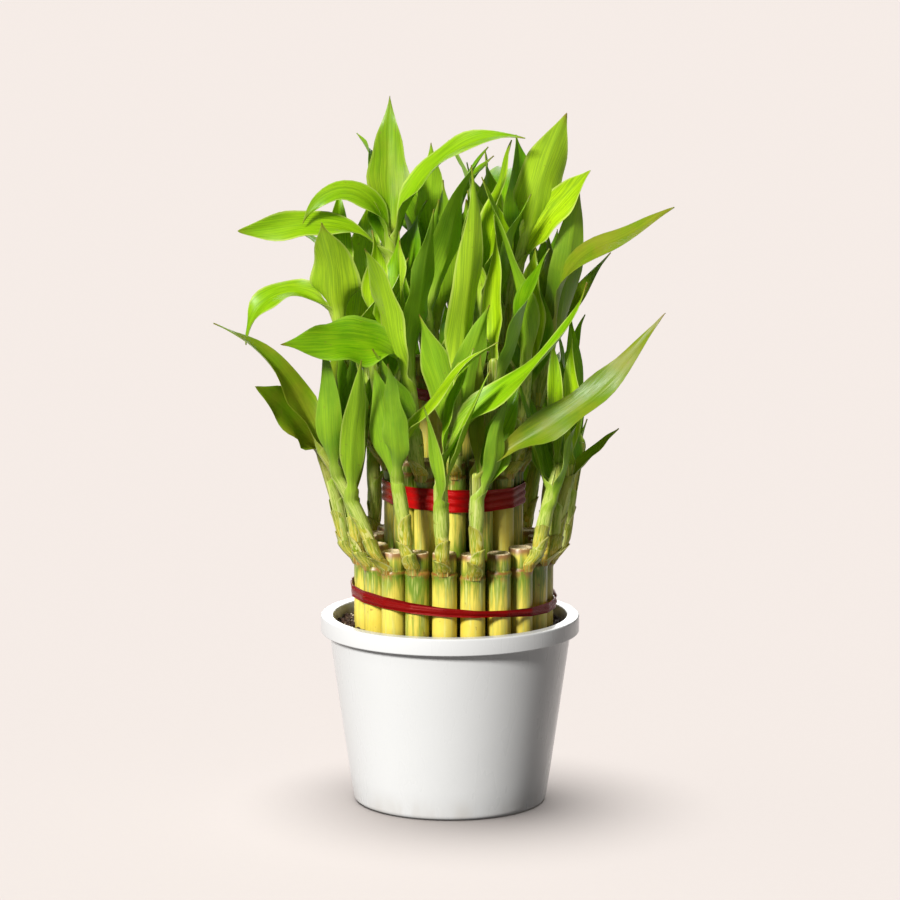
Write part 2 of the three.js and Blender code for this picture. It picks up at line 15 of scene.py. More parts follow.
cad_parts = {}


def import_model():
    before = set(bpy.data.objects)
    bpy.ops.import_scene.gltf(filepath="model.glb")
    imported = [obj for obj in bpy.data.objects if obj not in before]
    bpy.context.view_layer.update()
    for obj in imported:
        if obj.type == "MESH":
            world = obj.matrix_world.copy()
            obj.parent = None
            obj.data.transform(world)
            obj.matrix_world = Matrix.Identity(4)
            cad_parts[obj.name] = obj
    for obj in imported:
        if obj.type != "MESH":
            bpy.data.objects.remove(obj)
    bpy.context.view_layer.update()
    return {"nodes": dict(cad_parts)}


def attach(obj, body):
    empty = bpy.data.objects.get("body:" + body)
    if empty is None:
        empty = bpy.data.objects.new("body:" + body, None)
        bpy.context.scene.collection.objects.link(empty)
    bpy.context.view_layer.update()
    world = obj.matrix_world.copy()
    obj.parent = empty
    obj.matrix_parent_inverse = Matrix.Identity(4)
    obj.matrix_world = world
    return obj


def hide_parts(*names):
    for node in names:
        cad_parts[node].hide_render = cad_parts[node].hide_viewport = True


MM = 0.001

# The pot
RIM_RADIUS = 55
RIM_HEIGHT = 80.5
RIM_BAND = 7.2
WALL_TOP_RADIUS = 52.5
WALL_FOOT_RADIUS = 41.5
WALL = 2.8
FOOT_EDGE = 3
FOOT_RECESS = 0.5
FLOOR_TOP = 4.5
INNER_ROUND = 2
POT_SIDES = 144
# Where its marks fade in, in metres: dust at the foot, and a stain on the inner wall by the soil
DUST_HEIGHT = (0.012, 0)
STAIN_RADIUS = (0.0506, 0.0496)
STAIN_TOP = (0.0795, 0.0765)
STAIN_FOOT = (0.073, 0.074)

# The soil
SOIL_TOP = 76.5
SOIL_DOME = 0.8
SOIL_RISE = 0.2
SOIL_GAP = 0.15
SOIL_FLOOR_GAP = 0.3
SOIL_GRID = 1.25
SOIL_LUMPS = 0.55
SOIL_CLODS = 0.35
SOIL_SEED = 11
HOLE_GAP = 0.05
HOLE_SIDES = 24
CRUMBS = 620
CRUMB_SIZES = (0.45, 1.5)
GRAINS = 210
GRAIN_SIZES = (0.28, 0.62)

# The canes
BUNDLE_X = 1.5
BUNDLE = np.array([BUNDLE_X, 0, 0])
CANE_RADIUS = 5.35
CANE_DEPTH = 22
CANE_SIDES = 30
CANE_VARIES = 0.12
NODE_RIDGE = 0.3
NODE_GROOVE = 0.22
NODE_SPACING = 37
NODES = 4
NODE_DEEPEST = 6
NODE_STEPS = (-2.6, -1.5, -0.8, -0.35, 0, 0.35, 0.75, 1.15, 1.6, 2.2)
CUT_TAPER = 0.98
CUT_ROUGH = 0.12
# The rings of a cut top: share of its radius and how far it lies above the cane's end
CUT_RINGS = ((0.94, 0), (0.9, 0.05), (0.82, -0.35), (0.5, -0.6), (0.2, -0.55))
RINGS = {
    "outer": {"count": 20, "radius": 37.5, "node": 27, "top": 36.5, "first": -95.8},
    "middle": {"count": 13, "radius": 24.4, "node": 65.5, "top": 73, "first": -90},
    "inner": {"count": 6, "radius": 12, "node": 106, "top": 115, "first": -120},
    "centre": {"count": 1, "radius": 0, "node": 106, "top": 117, "first": -90},
}
BARE = ("outer 2", "outer 11", "centre 0")

# The shoots: length and lean outwards and sideways of those that can be seen apart
SHOOT_RADIUS = 2.7
SHOOT_TIP_RADIUS = 2.1
SHOOT_ROOT = 3
SHOOT_ELBOW = 4.8
SHOOT_SIDES = 18
SHOOT_LENGTH = {"outer": 48, "middle": 50, "inner": 50}
SHOOT_LEAN = 0.12
SHOOT_VARIES = {"length": 6, "out": 0.06, "side": 0.08}
SHOOTS = {
    "outer 16": (46, 0.24, 0.02),
    "outer 17": (50, 0.12, -0.1),
    "outer 18": (54, 0.32, -0.34),
    "outer 19": (52, 0.06, -0.12),
    "outer 0": (50, 0.06, -0.02),
    "outer 1": (46, 0.05, -0.02),
    "outer 3": (46, 0.16, 0.16),
    "outer 4": (44, 0.2, -0.05),
    "outer 6": (49, 0.12, -0.09),
    "middle 10": (71, 0.27, 0),
    "middle 12": (53, 0.1, -0.05),
    "middle 0": (34, 0.14, 0.02),
    "middle 2": (46, 0.1, 0),
    "middle 3": (60, 0.16, -0.06),
    "middle 4": (54, 0.2, 0),
    "inner 5": (60, 0.12, 0),
    "inner 0": (40, 0.1, 0),
    "inner 1": (34, 0.1, 0),
    "inner 2": (58, 0.16, -0.05),
}

# A leaf: its stalk, height on its shoot, directions, rises and rolls from root to tip in degrees,
# length, width, where the blade is widest and how blunt it is
LEAF_FIELDS = ("key", "at", "turn", "rise", "roll", "length", "width", "peak", "full")
# Those that can be seen apart, then some on the side that the photograph doesn't show
SHOWN = (
    ("inner 5", 0.96, (97, 83), (79, 80, 80), (0, 0), 61, 19, 0.75, 0.9),
    ("inner 5", 0.9, (-150, -166, -165), (84, 56, -14, -70), (-30, -50), 58, 14, 0.8, 0.9),
    ("inner 5", 0.86, (-165, -172), (44, 18, -8, -2), (-10, -80), 68, 15, 1.7, 0.55),
    ("inner 5", 0.93, (-27, -13), (75, 57, 26, -10), (30, 50), 82, 17, 0.9, 0.8),
    ("inner 0", 0.6, (-50, -50), (84, 83), (0, 0), 54, 13, 0.8, 0.9),
    ("inner 1", 0.93, (30, 24), (84, 80, 74), (0, -20), 70, 19, 0.9, 0.8),
    ("inner 2", 0.96, (-30, -26), (76, 66), (-60, -60), 60, 21, 0.9, 0.7),
    ("inner 2", 0.84, (-18, -20), (60, 52, 48), (60, 60), 50, 19, 0.9, 0.7),
    ("middle 10", 0.88, (-100, -112), (70, 64, 58), (0, 0), 50, 23, 0.8, 0.8),
    ("middle 10", 0.96, (-172, -160), (42, 20, -18, -62, -84), (-40, -20), 51, 15, 0.9, 0.8),
    ("middle 11", 0.95, (-176, 176), (80, 80, 76), (30, 10), 62, 16, 0.85, 0.85),
    ("middle 12", 0.94, (-144, -150), (46, 12, 2, 2), (-50, -70), 62, 23, 0.85, 0.8),
    ("middle 12", 0.4, (-128, -128), (60, 52), (0, 0), 46, 13, 0.8, 0.9),
    ("middle 12", 0.88, (-38, -40), (79, 80), (4, 4), 70, 18, 0.8, 0.9),
    ("middle 0", 0.96, (-39, -44, -120), (82, 83, 79), (-15, 0), 101, 17, 0.75, 1.2),
    ("middle 0", 0.45, (-140, -152), (80, 74, 68), (44, 54), 58, 16, 0.9, 0.9),
    ("middle 0", 0.62, (-36, -26), (80, 74, 68), (-48, -56), 56, 15, 0.9, 0.9),
    ("middle 2", 0.95, (-90, -138, -157, -152), (82, 78, 70, 68), (25, -30), 88, 14, 0.8, 0.8),
    ("middle 3", 0.96, (-42, -26, -16), (80, 78, 46, 20, 34, 30), (30, 60), 84, 14, 1.3, 0.7),
    ("middle 3", 0.85, (0, -20), (72, 84, 82), (-60, -40), 72, 17, 0.9, 0.8),
    ("middle 4", 0.9, (-4, -4), (66, 50), (30, 30), 50, 13, 0.8, 0.9),
    ("outer 16", 0.96, (-142, -142), (60, 46, 32), (-65, -65), 49, 22, 0.9, 0.7),
    ("outer 17", 0.96, (-105, -105), (85, 78), (0, 0), 52, 13, 0.8, 0.9),
    ("outer 18", 0.96, (180, 180), (74, 62, 43, 22), (-60, 0), 72, 16, 0.8, 0.9),
    ("outer 19", 0.93, (-30, -19), (60, 56, 45, 32), (35, 35), 70, 15, 0.8, 0.9),
    ("outer 19", 0.7, (-138, -150), (78, 80, 74), (30, 40), 54, 15, 0.9, 0.9),
    ("outer 0", 0.96, (-17, -10, -12, -26), (66, 46, 38, 54, 74), (45, 20), 99, 15, 0.8, 0.8),
    ("outer 1", 0.96, (3, 3), (50, 30, 34, 52, 50), (60, 40), 103, 15, 0.85, 0.9),
    ("outer 1", 0.76, (30, 36), (70, 66, 62), (50, 40), 50, 15, 0.9, 0.9),
    ("outer 4", 0.86, (-13, -8), (50, 44), (30, 30), 30, 9, 0.8, 0.9),
)
UNSEEN = (
    ("inner 3", 0.93, (72, 84), (82, 60, 16, -20), (30, 20), 72, 16, 0.85, 0.8),
    ("inner 4", 0.9, (122, 108), (74, 50, 20, 6), (-20, -30), 66, 17, 0.8, 0.8),
    ("middle 5", 0.92, (50, 62), (70, 40, 0, -30), (20, 40), 66, 15, 0.85, 0.8),
    ("middle 7", 0.93, (118, 104), (70, 48, 18, -8), (-10, -30), 74, 17, 0.85, 0.8),
    ("middle 8", 0.9, (150, 160), (72, 50, 30, 24), (10, 20), 78, 16, 0.8, 0.9),
    ("outer 8", 0.93, (74, 84), (66, 42, 20, 10), (30, 40), 68, 15, 0.8, 0.9),
    ("outer 10", 0.94, (96, 84), (70, 46, 22, 30), (-20, 10), 74, 14, 0.85, 0.9),
    ("outer 13", 0.92, (112, 104), (64, 40, 10, -24), (-10, -30), 64, 15, 0.85, 0.8),
)

# The rule for the other leaves: how many on a stalk, their form, and how low they start
FILL = {
    "inner": {"count": 6, "rise": 82, "tip": 55, "length": 65, "width": 20, "low": 0.25},
    "middle": {"count": 4, "rise": 81, "tip": 65, "length": 66, "width": 19, "low": 0.37},
    "outer": {"count": 4, "rise": 81, "tip": 62, "length": 60, "width": 12, "low": 0.45},
}
TURNS = (150, 75, -85, 25, -140, 10)
GROWTH_SEED = 634
ROOT_BOW = 24
SPEAR = {"rise": 84, "tip": 80, "tip_varies": 6, "length": 0.85, "width": 0.72}
RULE_VARIES = {"turn": 16, "rise": 5, "tip": 16, "length": 0.16, "width": 0.14}
STEEPEST = 88
HIGHEST_ROOT = 0.96
RULE_ROLL = (55, 69)
RULE_TURN = 32
RULE_FORM = {"peak": 0.9, "full": 0.9}
RULE_REACH = {"sideways": 57, "back": 68, "height": 284}
TRY_SIZES = (1, 0.85, 0.7)
TRY_RISES = (0, 6, -9)
TRY_TURNS = (14, -14, 28, -28, 44, -44, 62, -62, 90, -90, 125, -125, 160)
LEAF_CLEAR = 2.8
OWN_CLEAR = 2.4
STEM_CLEAR = 4.4
BUNDLE_CLEAR = 2.4
SAMPLE_STEPS = 22
SAMPLE_ROOT = 3
SAMPLE_NEAR = 4
SAMPLES_ACROSS = (-1, -0.5, 0, 0.5, 1)
FOLD = 0.25
POINTED = 0.36
ROOT_OUT = 1.2
ROOT_WIDTH = 0.14

# The finer shape of the leaves
LEAF_ROWS = (9, 15, 6)
LEAF_COLUMNS = 15
LEAF_THICKNESS = 0.5
LEAF_EASE = 0.16
LEAF_OPEN = 0.3
LEAF_NECK = 0.42
LEAF_LEAST_HALF = 0.12
LEAF_SWAY = 1.4
LEAF_TWIST = 26
RIB_HALF = 0.75
RIB_DIP = 0.16
RIB_KEEL = 0.4
SHEATH = 17
SHEATH_ROWS = 9
SHEATH_STEP = 0.22
SHEATH_WRAP = 2.2
# The first scales of a shoot: how high each starts, as a share of the shoot, and its length
BRACTS = ((0.05, 7), (0.14, 9), (0.25, 11))
BRACT_ROWS = 9
BRACT_COLUMNS = 11
BRACT_HALF = 0.17
BRACT_WRAP = 2.6
ROOT_SWELL = 0.55
ROOT_KNOBS = 0.24
STEM_RINGS = (0.1, 0.19, 0.29)
STEM_RIDGE = 0.26
# The last rows round a stem's tip: heights and shares of its radius
STEM_TIP = {0.985: 0.92, 1: 0.6, 1.004: 0.1}

# Shade from dark to bright, and age, of leaves that can be seen apart, by their height
SHADES = {
    "inner 5": {0.96: (0.55, 0.35), 0.9: (0.6, 0.1), 0.86: (0.75, 0.05), 0.93: (0.65, 0.05)},
    "inner 2": {0.96: (0.95, 0.05), 0.84: (1, 0)},
    "middle 10": {0.88: (1, 0), 0.96: (0.7, 0.1)},
    "middle 12": {0.94: (0.42, 0), 0.88: (0.3, 0)},
    "middle 0": {0.96: (1, 0)},
    "middle 2": {0.95: (0.6, 0)},
    "middle 3": {0.96: (0.2, 0.65), 0.85: (0.15, 0.2)},
    "middle 4": {0.9: (0.3, 0.5)},
    "outer 0": {0.96: (0.65, 0.05)},
    "outer 1": {0.96: (0.12, 0.65)},
    "outer 4": {0.86: (0.35, 0.5)},
    "outer 16": {0.96: (0.3, 0.75)},
    "outer 17": {0.96: (0.5, 0)},
    "outer 18": {0.96: (0.35, 0.7)},
    "outer 19": {0.93: (0.9, 0)},
}
SHADE_SEED = 77
LOOK_SEED = 5

# The ribbons
RIBBONS = {
    "ribbon_lower": {"ring": "outer", "height": 12.9, "tilt": 3.1, "knot": 66, "dark": 1},
    "ribbon_middle": {
        "ring": "middle", "height": 57.5, "tilt": 0.6, "knot": 76, "dark": 0.1, "width": 9.6, "folds": 3,
    },
    "ribbon_upper": {
        "ring": "inner", "height": 99, "tilt": 0.3, "knot": 120, "dark": 0.3, "width": 5.2, "folds": 2,
    },
}
RIBBON_THICKNESS = 0.9
RIBBON_GAP = 0.35
RIBBON_NEAR = 0.12
RIBBON_SHEET = 0.3
RIBBON_COLUMNS = 19
RIBBON_CREASE = 0.44
# Direction in which the lower ribbon's two strands cross, and each one's side and seed
CROSSING = -70
STRANDS = ((1, 1.3), (-1, 4.2))
STRAND_WIDTH = 2.5
STRAND_LIFT = 1.35
STRAND_OUT = 0.24
KNOT = 2.6
KNOT_DEPTH = 0.55
KNOT_OUT = 0.6
KNOT_ROWS = 13
KNOT_SIDES = 24
TAIL = 12
TAIL_OUT = 0.4
TAIL_LIFT = 1.6
TAIL_DROP = 3.2
TAIL_ROOT_HALF = 1
TAIL_TIP_HALF = 2.2
TAIL_SHEET_HALF = 0.14
TAIL_NOTCH = 0.16

# Colours: a pair between which a material varies, or each with its place on a ramp
LEAF_GREENS = (
    (0, (0.055, 0.2, 0.002)), (0.35, (0.14, 0.38, 0.002)), (0.7, (0.28, 0.56, 0.003)),
    (1, (0.52, 0.74, 0.01)),
)
STEM_PALES = (
    (0, (0.42, 0.17, 0.025)), (0.06, (0.7, 0.5, 0.045)), (0.22, (0.64, 0.6, 0.06)),
    (0.5, (0.6, 0.64, 0.1)), (0.9, (0.6, 0.67, 0.16)), (1, (0.44, 0.6, 0.05)),
)
LEAF_TANS = ((0.2, 0.13, 0.015), (0.3, 0.25, 0.02))
CANE_YELLOWS = ((0.64, 0.48, 0.035), (0.84, 0.74, 0.15))
CANE_GREENS = ((0.07, 0.16, 0.004), (0.2, 0.3, 0.008))
CANE_RUSTS = ((0.2, 0.04, 0.012), (0.36, 0.16, 0.03))
CANE_BARKS = ((0.3, 0.1, 0.02), (0.46, 0.26, 0.05))
CUT_WOODS = ((0.72, 0.6, 0.36), (0.36, 0.22, 0.09))
EARTHS = (
    (0.3, (0.011, 0.006, 0.004)), (0.5, (0.032, 0.016, 0.01)), (0.7, (0.075, 0.042, 0.024)),
)
STONES = ((0.42, 0.31, 0.17), (0.85, 0.76, 0.6))
POT_WHITES = ((0.62, 0.625, 0.63), (0.66, 0.665, 0.67))
SATIN_REDS = ((0.3, 0.0012, 0.0015), (0.52, 0.003, 0.003))
FLOOR_TINTS = ((0.62, 0.567, 0.539), (0.63, 0.578, 0.55))

# The floor, the lights and the camera of the photograph
FLOOR_RADIUS = 40000
FLOOR_SIDES = 96
LIGHT_DISTANCE = 3
# Direction and height from which each light comes, its energy, softness and colour
LIGHTS = {
    "key": (-125, 31, 5.5, 12, (1, 0.985, 0.95)),
    "back": (90, 28, 1.9, 50, (1, 0.995, 0.97)),
    "leaf_fill": (-75, 30, 0.8, 90, (1, 1, 0.86)),
    "floor_light": (124, 79, 4.29, 64, (1, 1, 1)),
}
WORLD_COLOUR = (1, 0.985, 0.96, 1)
WORLD_STRENGTH = 0.13
BACKDROP_COLOUR = (0.922, 0.847, 0.807, 1)
CAMERA_DISTANCE = 1.6
CAMERA_RISE = 9
CAMERA_TARGET = (0, 0, 0.1508)
CAMERA_LENS = 151.3
CAMERA_SENSOR = 36

# What each point of a mesh tells its material
LOOKS = ("along", "across", "tint", "aged", "under", "edge")


class Draw:
    """A repeatable draw from -1 to 1."""

    def __init__(self, seed):
        self.state = seed

    def __call__(self):
        self.state = (self.state * 1664525 + 1013904223) % 4294967296
        return self.state / 4294967296 * 2 - 1

    def part(self):
        return (self() + 1) / 2


def smooth(t):
    t = np.clip(t, 0, 1)
    return t * t * (3 - 2 * t)


def flat(degrees):
    turn = np.radians(degrees)
    return np.stack([np.cos(turn), np.sin(turn), np.zeros_like(turn)], -1)


def heading(turn, rise):
    level = np.cos(np.radians(rise))
    return flat(turn) * np.expand_dims(level, -1) + upward(np.sin(np.radians(rise)))


def upward(height):
    return np.multiply.outer(height, (0.0, 0.0, 1.0))


def between(values, t):
    return np.interp(t, np.linspace(0, 1, len(values)), values)


def bell(x, middle, width):
    return np.exp(-((x - middle) / width) ** 2)


def there_and_back(values):
    """Rows of values over the top of a sheet, then back along its underside."""
    return np.concatenate([values, values[:, ::-1]], 1)


# Growth, by the same rule and draws as the solids


def stalks(draw):
    found = []
    for ring, r in RINGS.items():
        for i in range(r["count"]):
            turn = r["first"] + 360 / r["count"] * i
            thin, high, up, long, out, side = (draw() for _ in range(6))
            key = f"{ring} {i}"
            lean = (
                SHOOT_LENGTH.get(ring, 0) + SHOOT_VARIES["length"] * long,
                SHOOT_LEAN + SHOOT_VARIES["out"] * out,
                SHOOT_VARIES["side"] * side,
            )
            found.append({
                "key": key,
                "ring": ring,
                "name": f"{ring}_stalk_{i + 1:02d}",
                "turn": turn,
                "axis": flat(turn) * r["radius"] + BUNDLE,
                "radius": CANE_RADIUS - CANE_VARIES * (1 + thin),
                "top": SOIL_TOP + r["top"] + high,
                "node": SOIL_TOP + r["node"] + up,
                "bare": key in BARE,
                "lean": SHOOTS.get(key, lean),
            })
    return found


def shoot_point(stalk, s):
    s = np.asarray(s, float)
    length, out, side = stalk["lean"]
    bow = s * (0.6 + 0.4 * s) * length
    elbow = SHOOT_ROOT + SHOOT_ELBOW * smooth(s / 0.2)
    point = flat(stalk["turn"]) * np.expand_dims(elbow + out * bow, -1)
    point = point + flat(stalk["turn"] + 90) * np.expand_dims(side * bow, -1)
    return point + stalk["axis"] + upward(stalk["node"] + length * s)


def taper(leaf, t):
    belly = np.clip(np.sin(np.pi * t ** leaf["peak"]), 0, 1) ** leaf["full"]
    belly = belly * (1 - POINTED * t * t)
    return ROOT_WIDTH * (1 - t) ** 6 + np.where(t < 1, belly, 0)


def frames(leaf, t):
    """The blade's side and face directions and half width at each t."""
    turn = between(leaf["turn"], t)
    along = heading(turn, between(leaf["rise"], t))
    level = flat(turn + 90)
    up = np.cross(along, level)
    roll = np.radians(between(leaf["roll"], t))[:, None]
    side = level * np.cos(roll) + up * np.sin(roll)
    face = up * np.cos(roll) - level * np.sin(roll)
    return side, face, leaf["width"] / 2 * taper(leaf, t)


def middle_line(leaf, steps):
    middles = (np.arange(steps) + 0.5) / steps
    moves = heading(between(leaf["turn"], middles), between(leaf["rise"], middles))
    return leaf["root"] + np.vstack([np.zeros(3), np.cumsum(moves * leaf["length"] / steps, 0)])


def boxed(thing, points):
    """A leaf or stem with the points by which its distance is judged, and the box round them."""
    return dict(thing, points=points, low=points.min(0), high=points.max(0))


def spread(leaf):
    """The leaf with points all over its blade."""
    t = np.arange(SAMPLE_STEPS + 1) / SAMPLE_STEPS
    side, face, half = frames(leaf, t)
    u = np.array(SAMPLES_ACROSS)[None, :, None]
    wide = half[:, None, None]
    points = middle_line(leaf, SAMPLE_STEPS)[:, None] + side[:, None] * wide * u
    points = points + face[:, None] * np.abs(u) * wide * FOLD
    return boxed(leaf, points[SAMPLE_ROOT:].reshape(-1, 3))


def nearer(points, others, distance):
    gaps = points[:, None] - others[None]
    return bool((gaps * gaps).sum(-1).min() < distance * distance)


def reaches(leaf):
    """Whether a leaf of the rule stays within the plant's own outline."""
    (left, front, _), (right, back, top) = leaf["low"], leaf["high"]
    aside = max(right - BUNDLE_X, BUNDLE_X - left)
    within = aside < RULE_REACH["sideways"] and max(back, -front) < RULE_REACH["back"]
    return within and top < RULE_REACH["height"]


def clear(leaf, grown, stems):
    """Whether a leaf stands clear of the canes, of other stalks' stems and of the leaves so far."""
    points = leaf["points"]
    out = np.hypot(points[:, 0] - BUNDLE_X, points[:, 1]) - CANE_RADIUS - BUNDLE_CLEAR
    for r in RINGS.values():
        low = points[:, 2] < SOIL_TOP + r["top"] + BUNDLE_CLEAR
        if (low & (out < r["radius"])).any():
            return False
    least, most = leaf["low"] - STEM_CLEAR, leaf["high"] + STEM_CLEAR
    for other in stems + grown:
        own, stem = other["key"] == leaf["key"], "at" not in other
        if (own and stem) or (other["high"] < least).any() or (other["low"] > most).any():
            continue
        gap = STEM_CLEAR if stem else OWN_CLEAR if own else LEAF_CLEAR
        start = SAMPLE_NEAR * len(SAMPLES_ACROSS) if own else 0
        if nearer(points[start:], other["points"][start:], gap):
            return False
    return True


def leaf_root(stalk, at, turn):
    return shoot_point(stalk, at) + flat(turn) * ROOT_OUT


def placed_leaf(row, by_key):
    leaf = dict(zip(LEAF_FIELDS, row), by_hand=True, young=False)
    root = leaf_root(by_key[leaf["key"]], leaf["at"], leaf["turn"][0])
    return spread(dict(leaf, root=root))


def tries():
    yield 0, 0, 1
    for size in TRY_SIZES:
        for lift in TRY_RISES:
            for swing in TRY_TURNS:
                yield swing, lift, size


def filled_leaf(stalk, n, number, grown, stems, draw):
    """The n-th leaf of the rule on a stalk, in the first place where it stands clear."""
    rule, varies, bow = FILL[stalk["ring"]], RULE_VARIES, ROOT_BOW
    turned, raised, twisted, drooped, longer, wider = (draw() for _ in range(6))
    placed = sum(leaf["key"] == stalk["key"] and leaf["by_hand"] for leaf in grown)
    if n >= rule["count"] - min(placed, 2):
        return None
    turn = stalk["turn"] + (-1 if number % 2 else 1) * TURNS[n] + varies["turn"] * turned
    rise, tip = rule["rise"] + varies["rise"] * raised, rule["tip"] + varies["tip"] * drooped
    length = rule["length"] * (1 + varies["length"] * longer)
    width = rule["width"] * (1 + varies["width"] * wider)
    young = n == 0
    if young:
        rise, tip, bow = SPEAR["rise"], SPEAR["tip"] + SPEAR["tip_varies"] * drooped, 0
        length, width = length * SPEAR["length"], width * SPEAR["width"]
    at = HIGHEST_ROOT - (1 - rule["low"]) * (n / (rule["count"] - 1))
    for swing, lift, size in tries():
        leaf = spread({
            "key": stalk["key"],
            "at": at,
            "root": leaf_root(stalk, at, turn + swing),
            "turn": (turn + swing, turn + swing + RULE_TURN * twisted),
            "rise": (rise - bow, min(STEEPEST, rise + lift), tip + lift),
            "roll": (RULE_ROLL[0] * wider, RULE_ROLL[1] * twisted),
            "length": length * size,
            "width": width * (0.7 + 0.3 * size),
            **RULE_FORM,
            "by_hand": False,
            "young": young,
        })
        if reaches(leaf) and clear(leaf, grown, stems):
            return leaf
    return None


def leaves(found, draw):
    """The listed leaves, then those of the rule, one on each stalk in turn."""
    by_key = {stalk["key"]: stalk for stalk in found}
    leafy = [stalk for stalk in found if not stalk["bare"]]
    stems = [boxed({"key": s["key"]}, shoot_point(s, 0.1 + 0.06 * np.arange(16))) for s in leafy]
    stems += [boxed({"key": "knot"}, knot_points(ribbon)) for ribbon in RIBBONS.values()]
    grown = [placed_leaf(row, by_key) for row in SHOWN + UNSEEN]
    order = [s for ring in ("inner", "middle", "outer") for s in found if s["ring"] == ring]
    for n in range(len(TURNS)):
        for number, stalk in enumerate(order):
            leaf = None if stalk["bare"] else filled_leaf(stalk, n, number, grown, stems, draw)
            if leaf:
                grown.append(leaf)
    return grown


# Meshes


def add_object(name, data):
    made = bpy.data.objects.new(name, data)
    bpy.context.scene.collection.objects.link(made)
    return made


class Shape:
    """Points, faces and looks of one piece, in millimetres."""

    def __init__(self):
        self.points, self.faces, self.looks, self.count = [], [], [], 0

    def add(self, points, faces, **looks):
        points = np.asarray(points, float).reshape(-1, 3)
        columns = [np.broadcast_to(looks.get(name, 0.0), len(points)) for name in LOOKS]
        self.points.append(points)
        self.looks.append(np.stack(columns, -1))
        self.faces += [tuple(self.count + k for k in face) for face in faces]
        self.count += len(points)

    def tube(self, sections, closed=False, **looks):
        """A skin through sections of as many points each, with an end face at both ends."""
        sections = np.asarray(sections, float)
        rows, n = sections.shape[:2]
        faces = []
        for k in range(rows if closed else rows - 1):
            low, high = k * n, (k + 1) % rows * n
            for j in range(n):
                after = (j + 1) % n
                faces.append((low + j, low + after, high + after, high + j))
        if not closed:
            faces.append(tuple(reversed(range(n))))
            faces.append(tuple(range((rows - 1) * n, rows * n)))
        looks = {name: np.broadcast_to(value, (rows, n)).ravel() for name, value in looks.items()}
        self.add(sections, faces, **looks)

    def piece(self, name, material, slot, *nodes, sharp=40):
        mesh = bpy.data.meshes.new(name)
        mesh.from_pydata((np.vstack(self.points) * MM).tolist(), [], self.faces)
        looks = np.vstack(self.looks)
        for k, look in enumerate(LOOKS):
            attribute = mesh.attributes.new(look, "FLOAT", "POINT")
            attribute.data.foreach_set("value", looks[:, k].astype(np.float32))
        form = bmesh.new()
        form.from_mesh(mesh)
        bmesh.ops.recalc_face_normals(form, faces=form.faces)
        form.to_mesh(mesh)
        form.free()
        mesh.shade_smooth()
        mesh.set_sharp_from_angle(angle=math.radians(sharp))
        mesh.materials.append(material)
        made = add_object(name, mesh)
        if slot:
            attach(made, "root")
            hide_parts(*nodes)
        return made


def circle(radius, sides, turn=0):
    return flat(turn + 360 / sides * np.arange(sides)) * radius


def lathe(outline, sides):
    """Sections of a turned form, for an outline of radius and height."""
    return np.array([circle(max(r, 1e-3), sides) + upward(z) for r, z in outline])


def leaf_rows():
    near, far, tip = LEAF_ROWS
    return np.concatenate([
        np.linspace(0, 0.2, near),
        np.linspace(0.2, 0.88, far)[1:],
        0.88 + 0.12 * np.sin(np.linspace(0, np.pi / 2, tip))[1:],
    ])


def stem_radius(s):
    return SHOOT_RADIUS + (SHOOT_TIP_RADIUS - SHOOT_RADIUS) * s


def swollen_radius(s):
    """The stem's radius with the swelling at its root."""
    return stem_radius(s) + ROOT_SWELL * bell(s, 0.06, 0.07)


def sheath_rows(leaf, stalk, loose):
    """The rows of the sheath that clasps the stem below the blade, as sections_of has them."""
    low = max(0.06, leaf["at"] - SHEATH / stalk["lean"][0])
    at = np.linspace(low, leaf["at"], SHEATH_ROWS)[:-1]
    part = np.linspace(0, 1, SHEATH_ROWS)[:-1]
    out, level = flat(leaf["turn"][0]), flat(leaf["turn"][0] + 90)
    snug = stem_radius(at) + 0.05 + loose * smooth(part * 1.6)
    spots = shoot_point(stalk, at) + out * snug[:, None]
    sides, faces = (np.tile(way, (len(at), 1)) for way in (level, -out))
    return spots, sides, faces, snug * (2.75 - 0.55 * part), 1 / snug, part - 1


def blade_rows(leaf, mouth, look):
    """The rows of the blade, which opens out of the mouth of its sheath and sways a little."""
    t = leaf_rows()
    line = middle_line(leaf, 96)
    steps = np.linspace(0, 1, 97)
    middle = np.stack([np.interp(t, steps, line[:, k]) for k in range(3)], -1)
    shift = (mouth - ROOT_OUT) * (1 - smooth(t / LEAF_EASE))
    middle = middle + flat(leaf["turn"][0]) * shift[:, None]
    ease = smooth(steps / LEAF_EASE)
    eased = dict(leaf)
    eased["rise"] = 90 + (between(leaf["rise"], steps) - 90) * ease
    eased["roll"] = between(leaf["roll"], steps) * ease + LEAF_TWIST * look() * steps ** 2
    eased["turn"] = between(leaf["turn"], steps)
    side, face, half = frames(eased, t)
    sway = 0.5 + 0.5 * look.part()
    bends = 0.7 + 0.6 * look.part()
    sway = sway * np.sin(2 * np.pi * bends * t + 3.1 * look())
    middle = middle + side * (LEAF_SWAY * sway * smooth(t / 0.35) * (1 - t))[:, None]
    neck = LEAF_NECK + (1 - LEAF_NECK) * smooth(t / 0.34)
    point = 1 - 0.3 * smooth((t - 0.8) / 0.2)
    wrapped = mouth * SHEATH_WRAP
    half = np.maximum(half * neck * point, LEAF_LEAST_HALF)
    half = wrapped + (half - wrapped) * smooth(t / 0.13)
    curl = (1 / mouth) * (1 - smooth(t / 0.38)) + 0.012
    return middle, side, face, half, curl, t


def sections_of(leaf, stalk, rank, look):
    """The rows of a leaf from the foot of its sheath to its tip: middle, side, face, half width
    along the blade, curl, and how far along the leaf they are."""
    loose = 0.1 + SHEATH_STEP * rank
    mouth = stem_radius(leaf["at"]) + 0.12 + loose
    sheath, blade = sheath_rows(leaf, stalk, loose), blade_rows(leaf, mouth, look)
    return [np.concatenate(rows) for rows in zip(sheath, blade)]


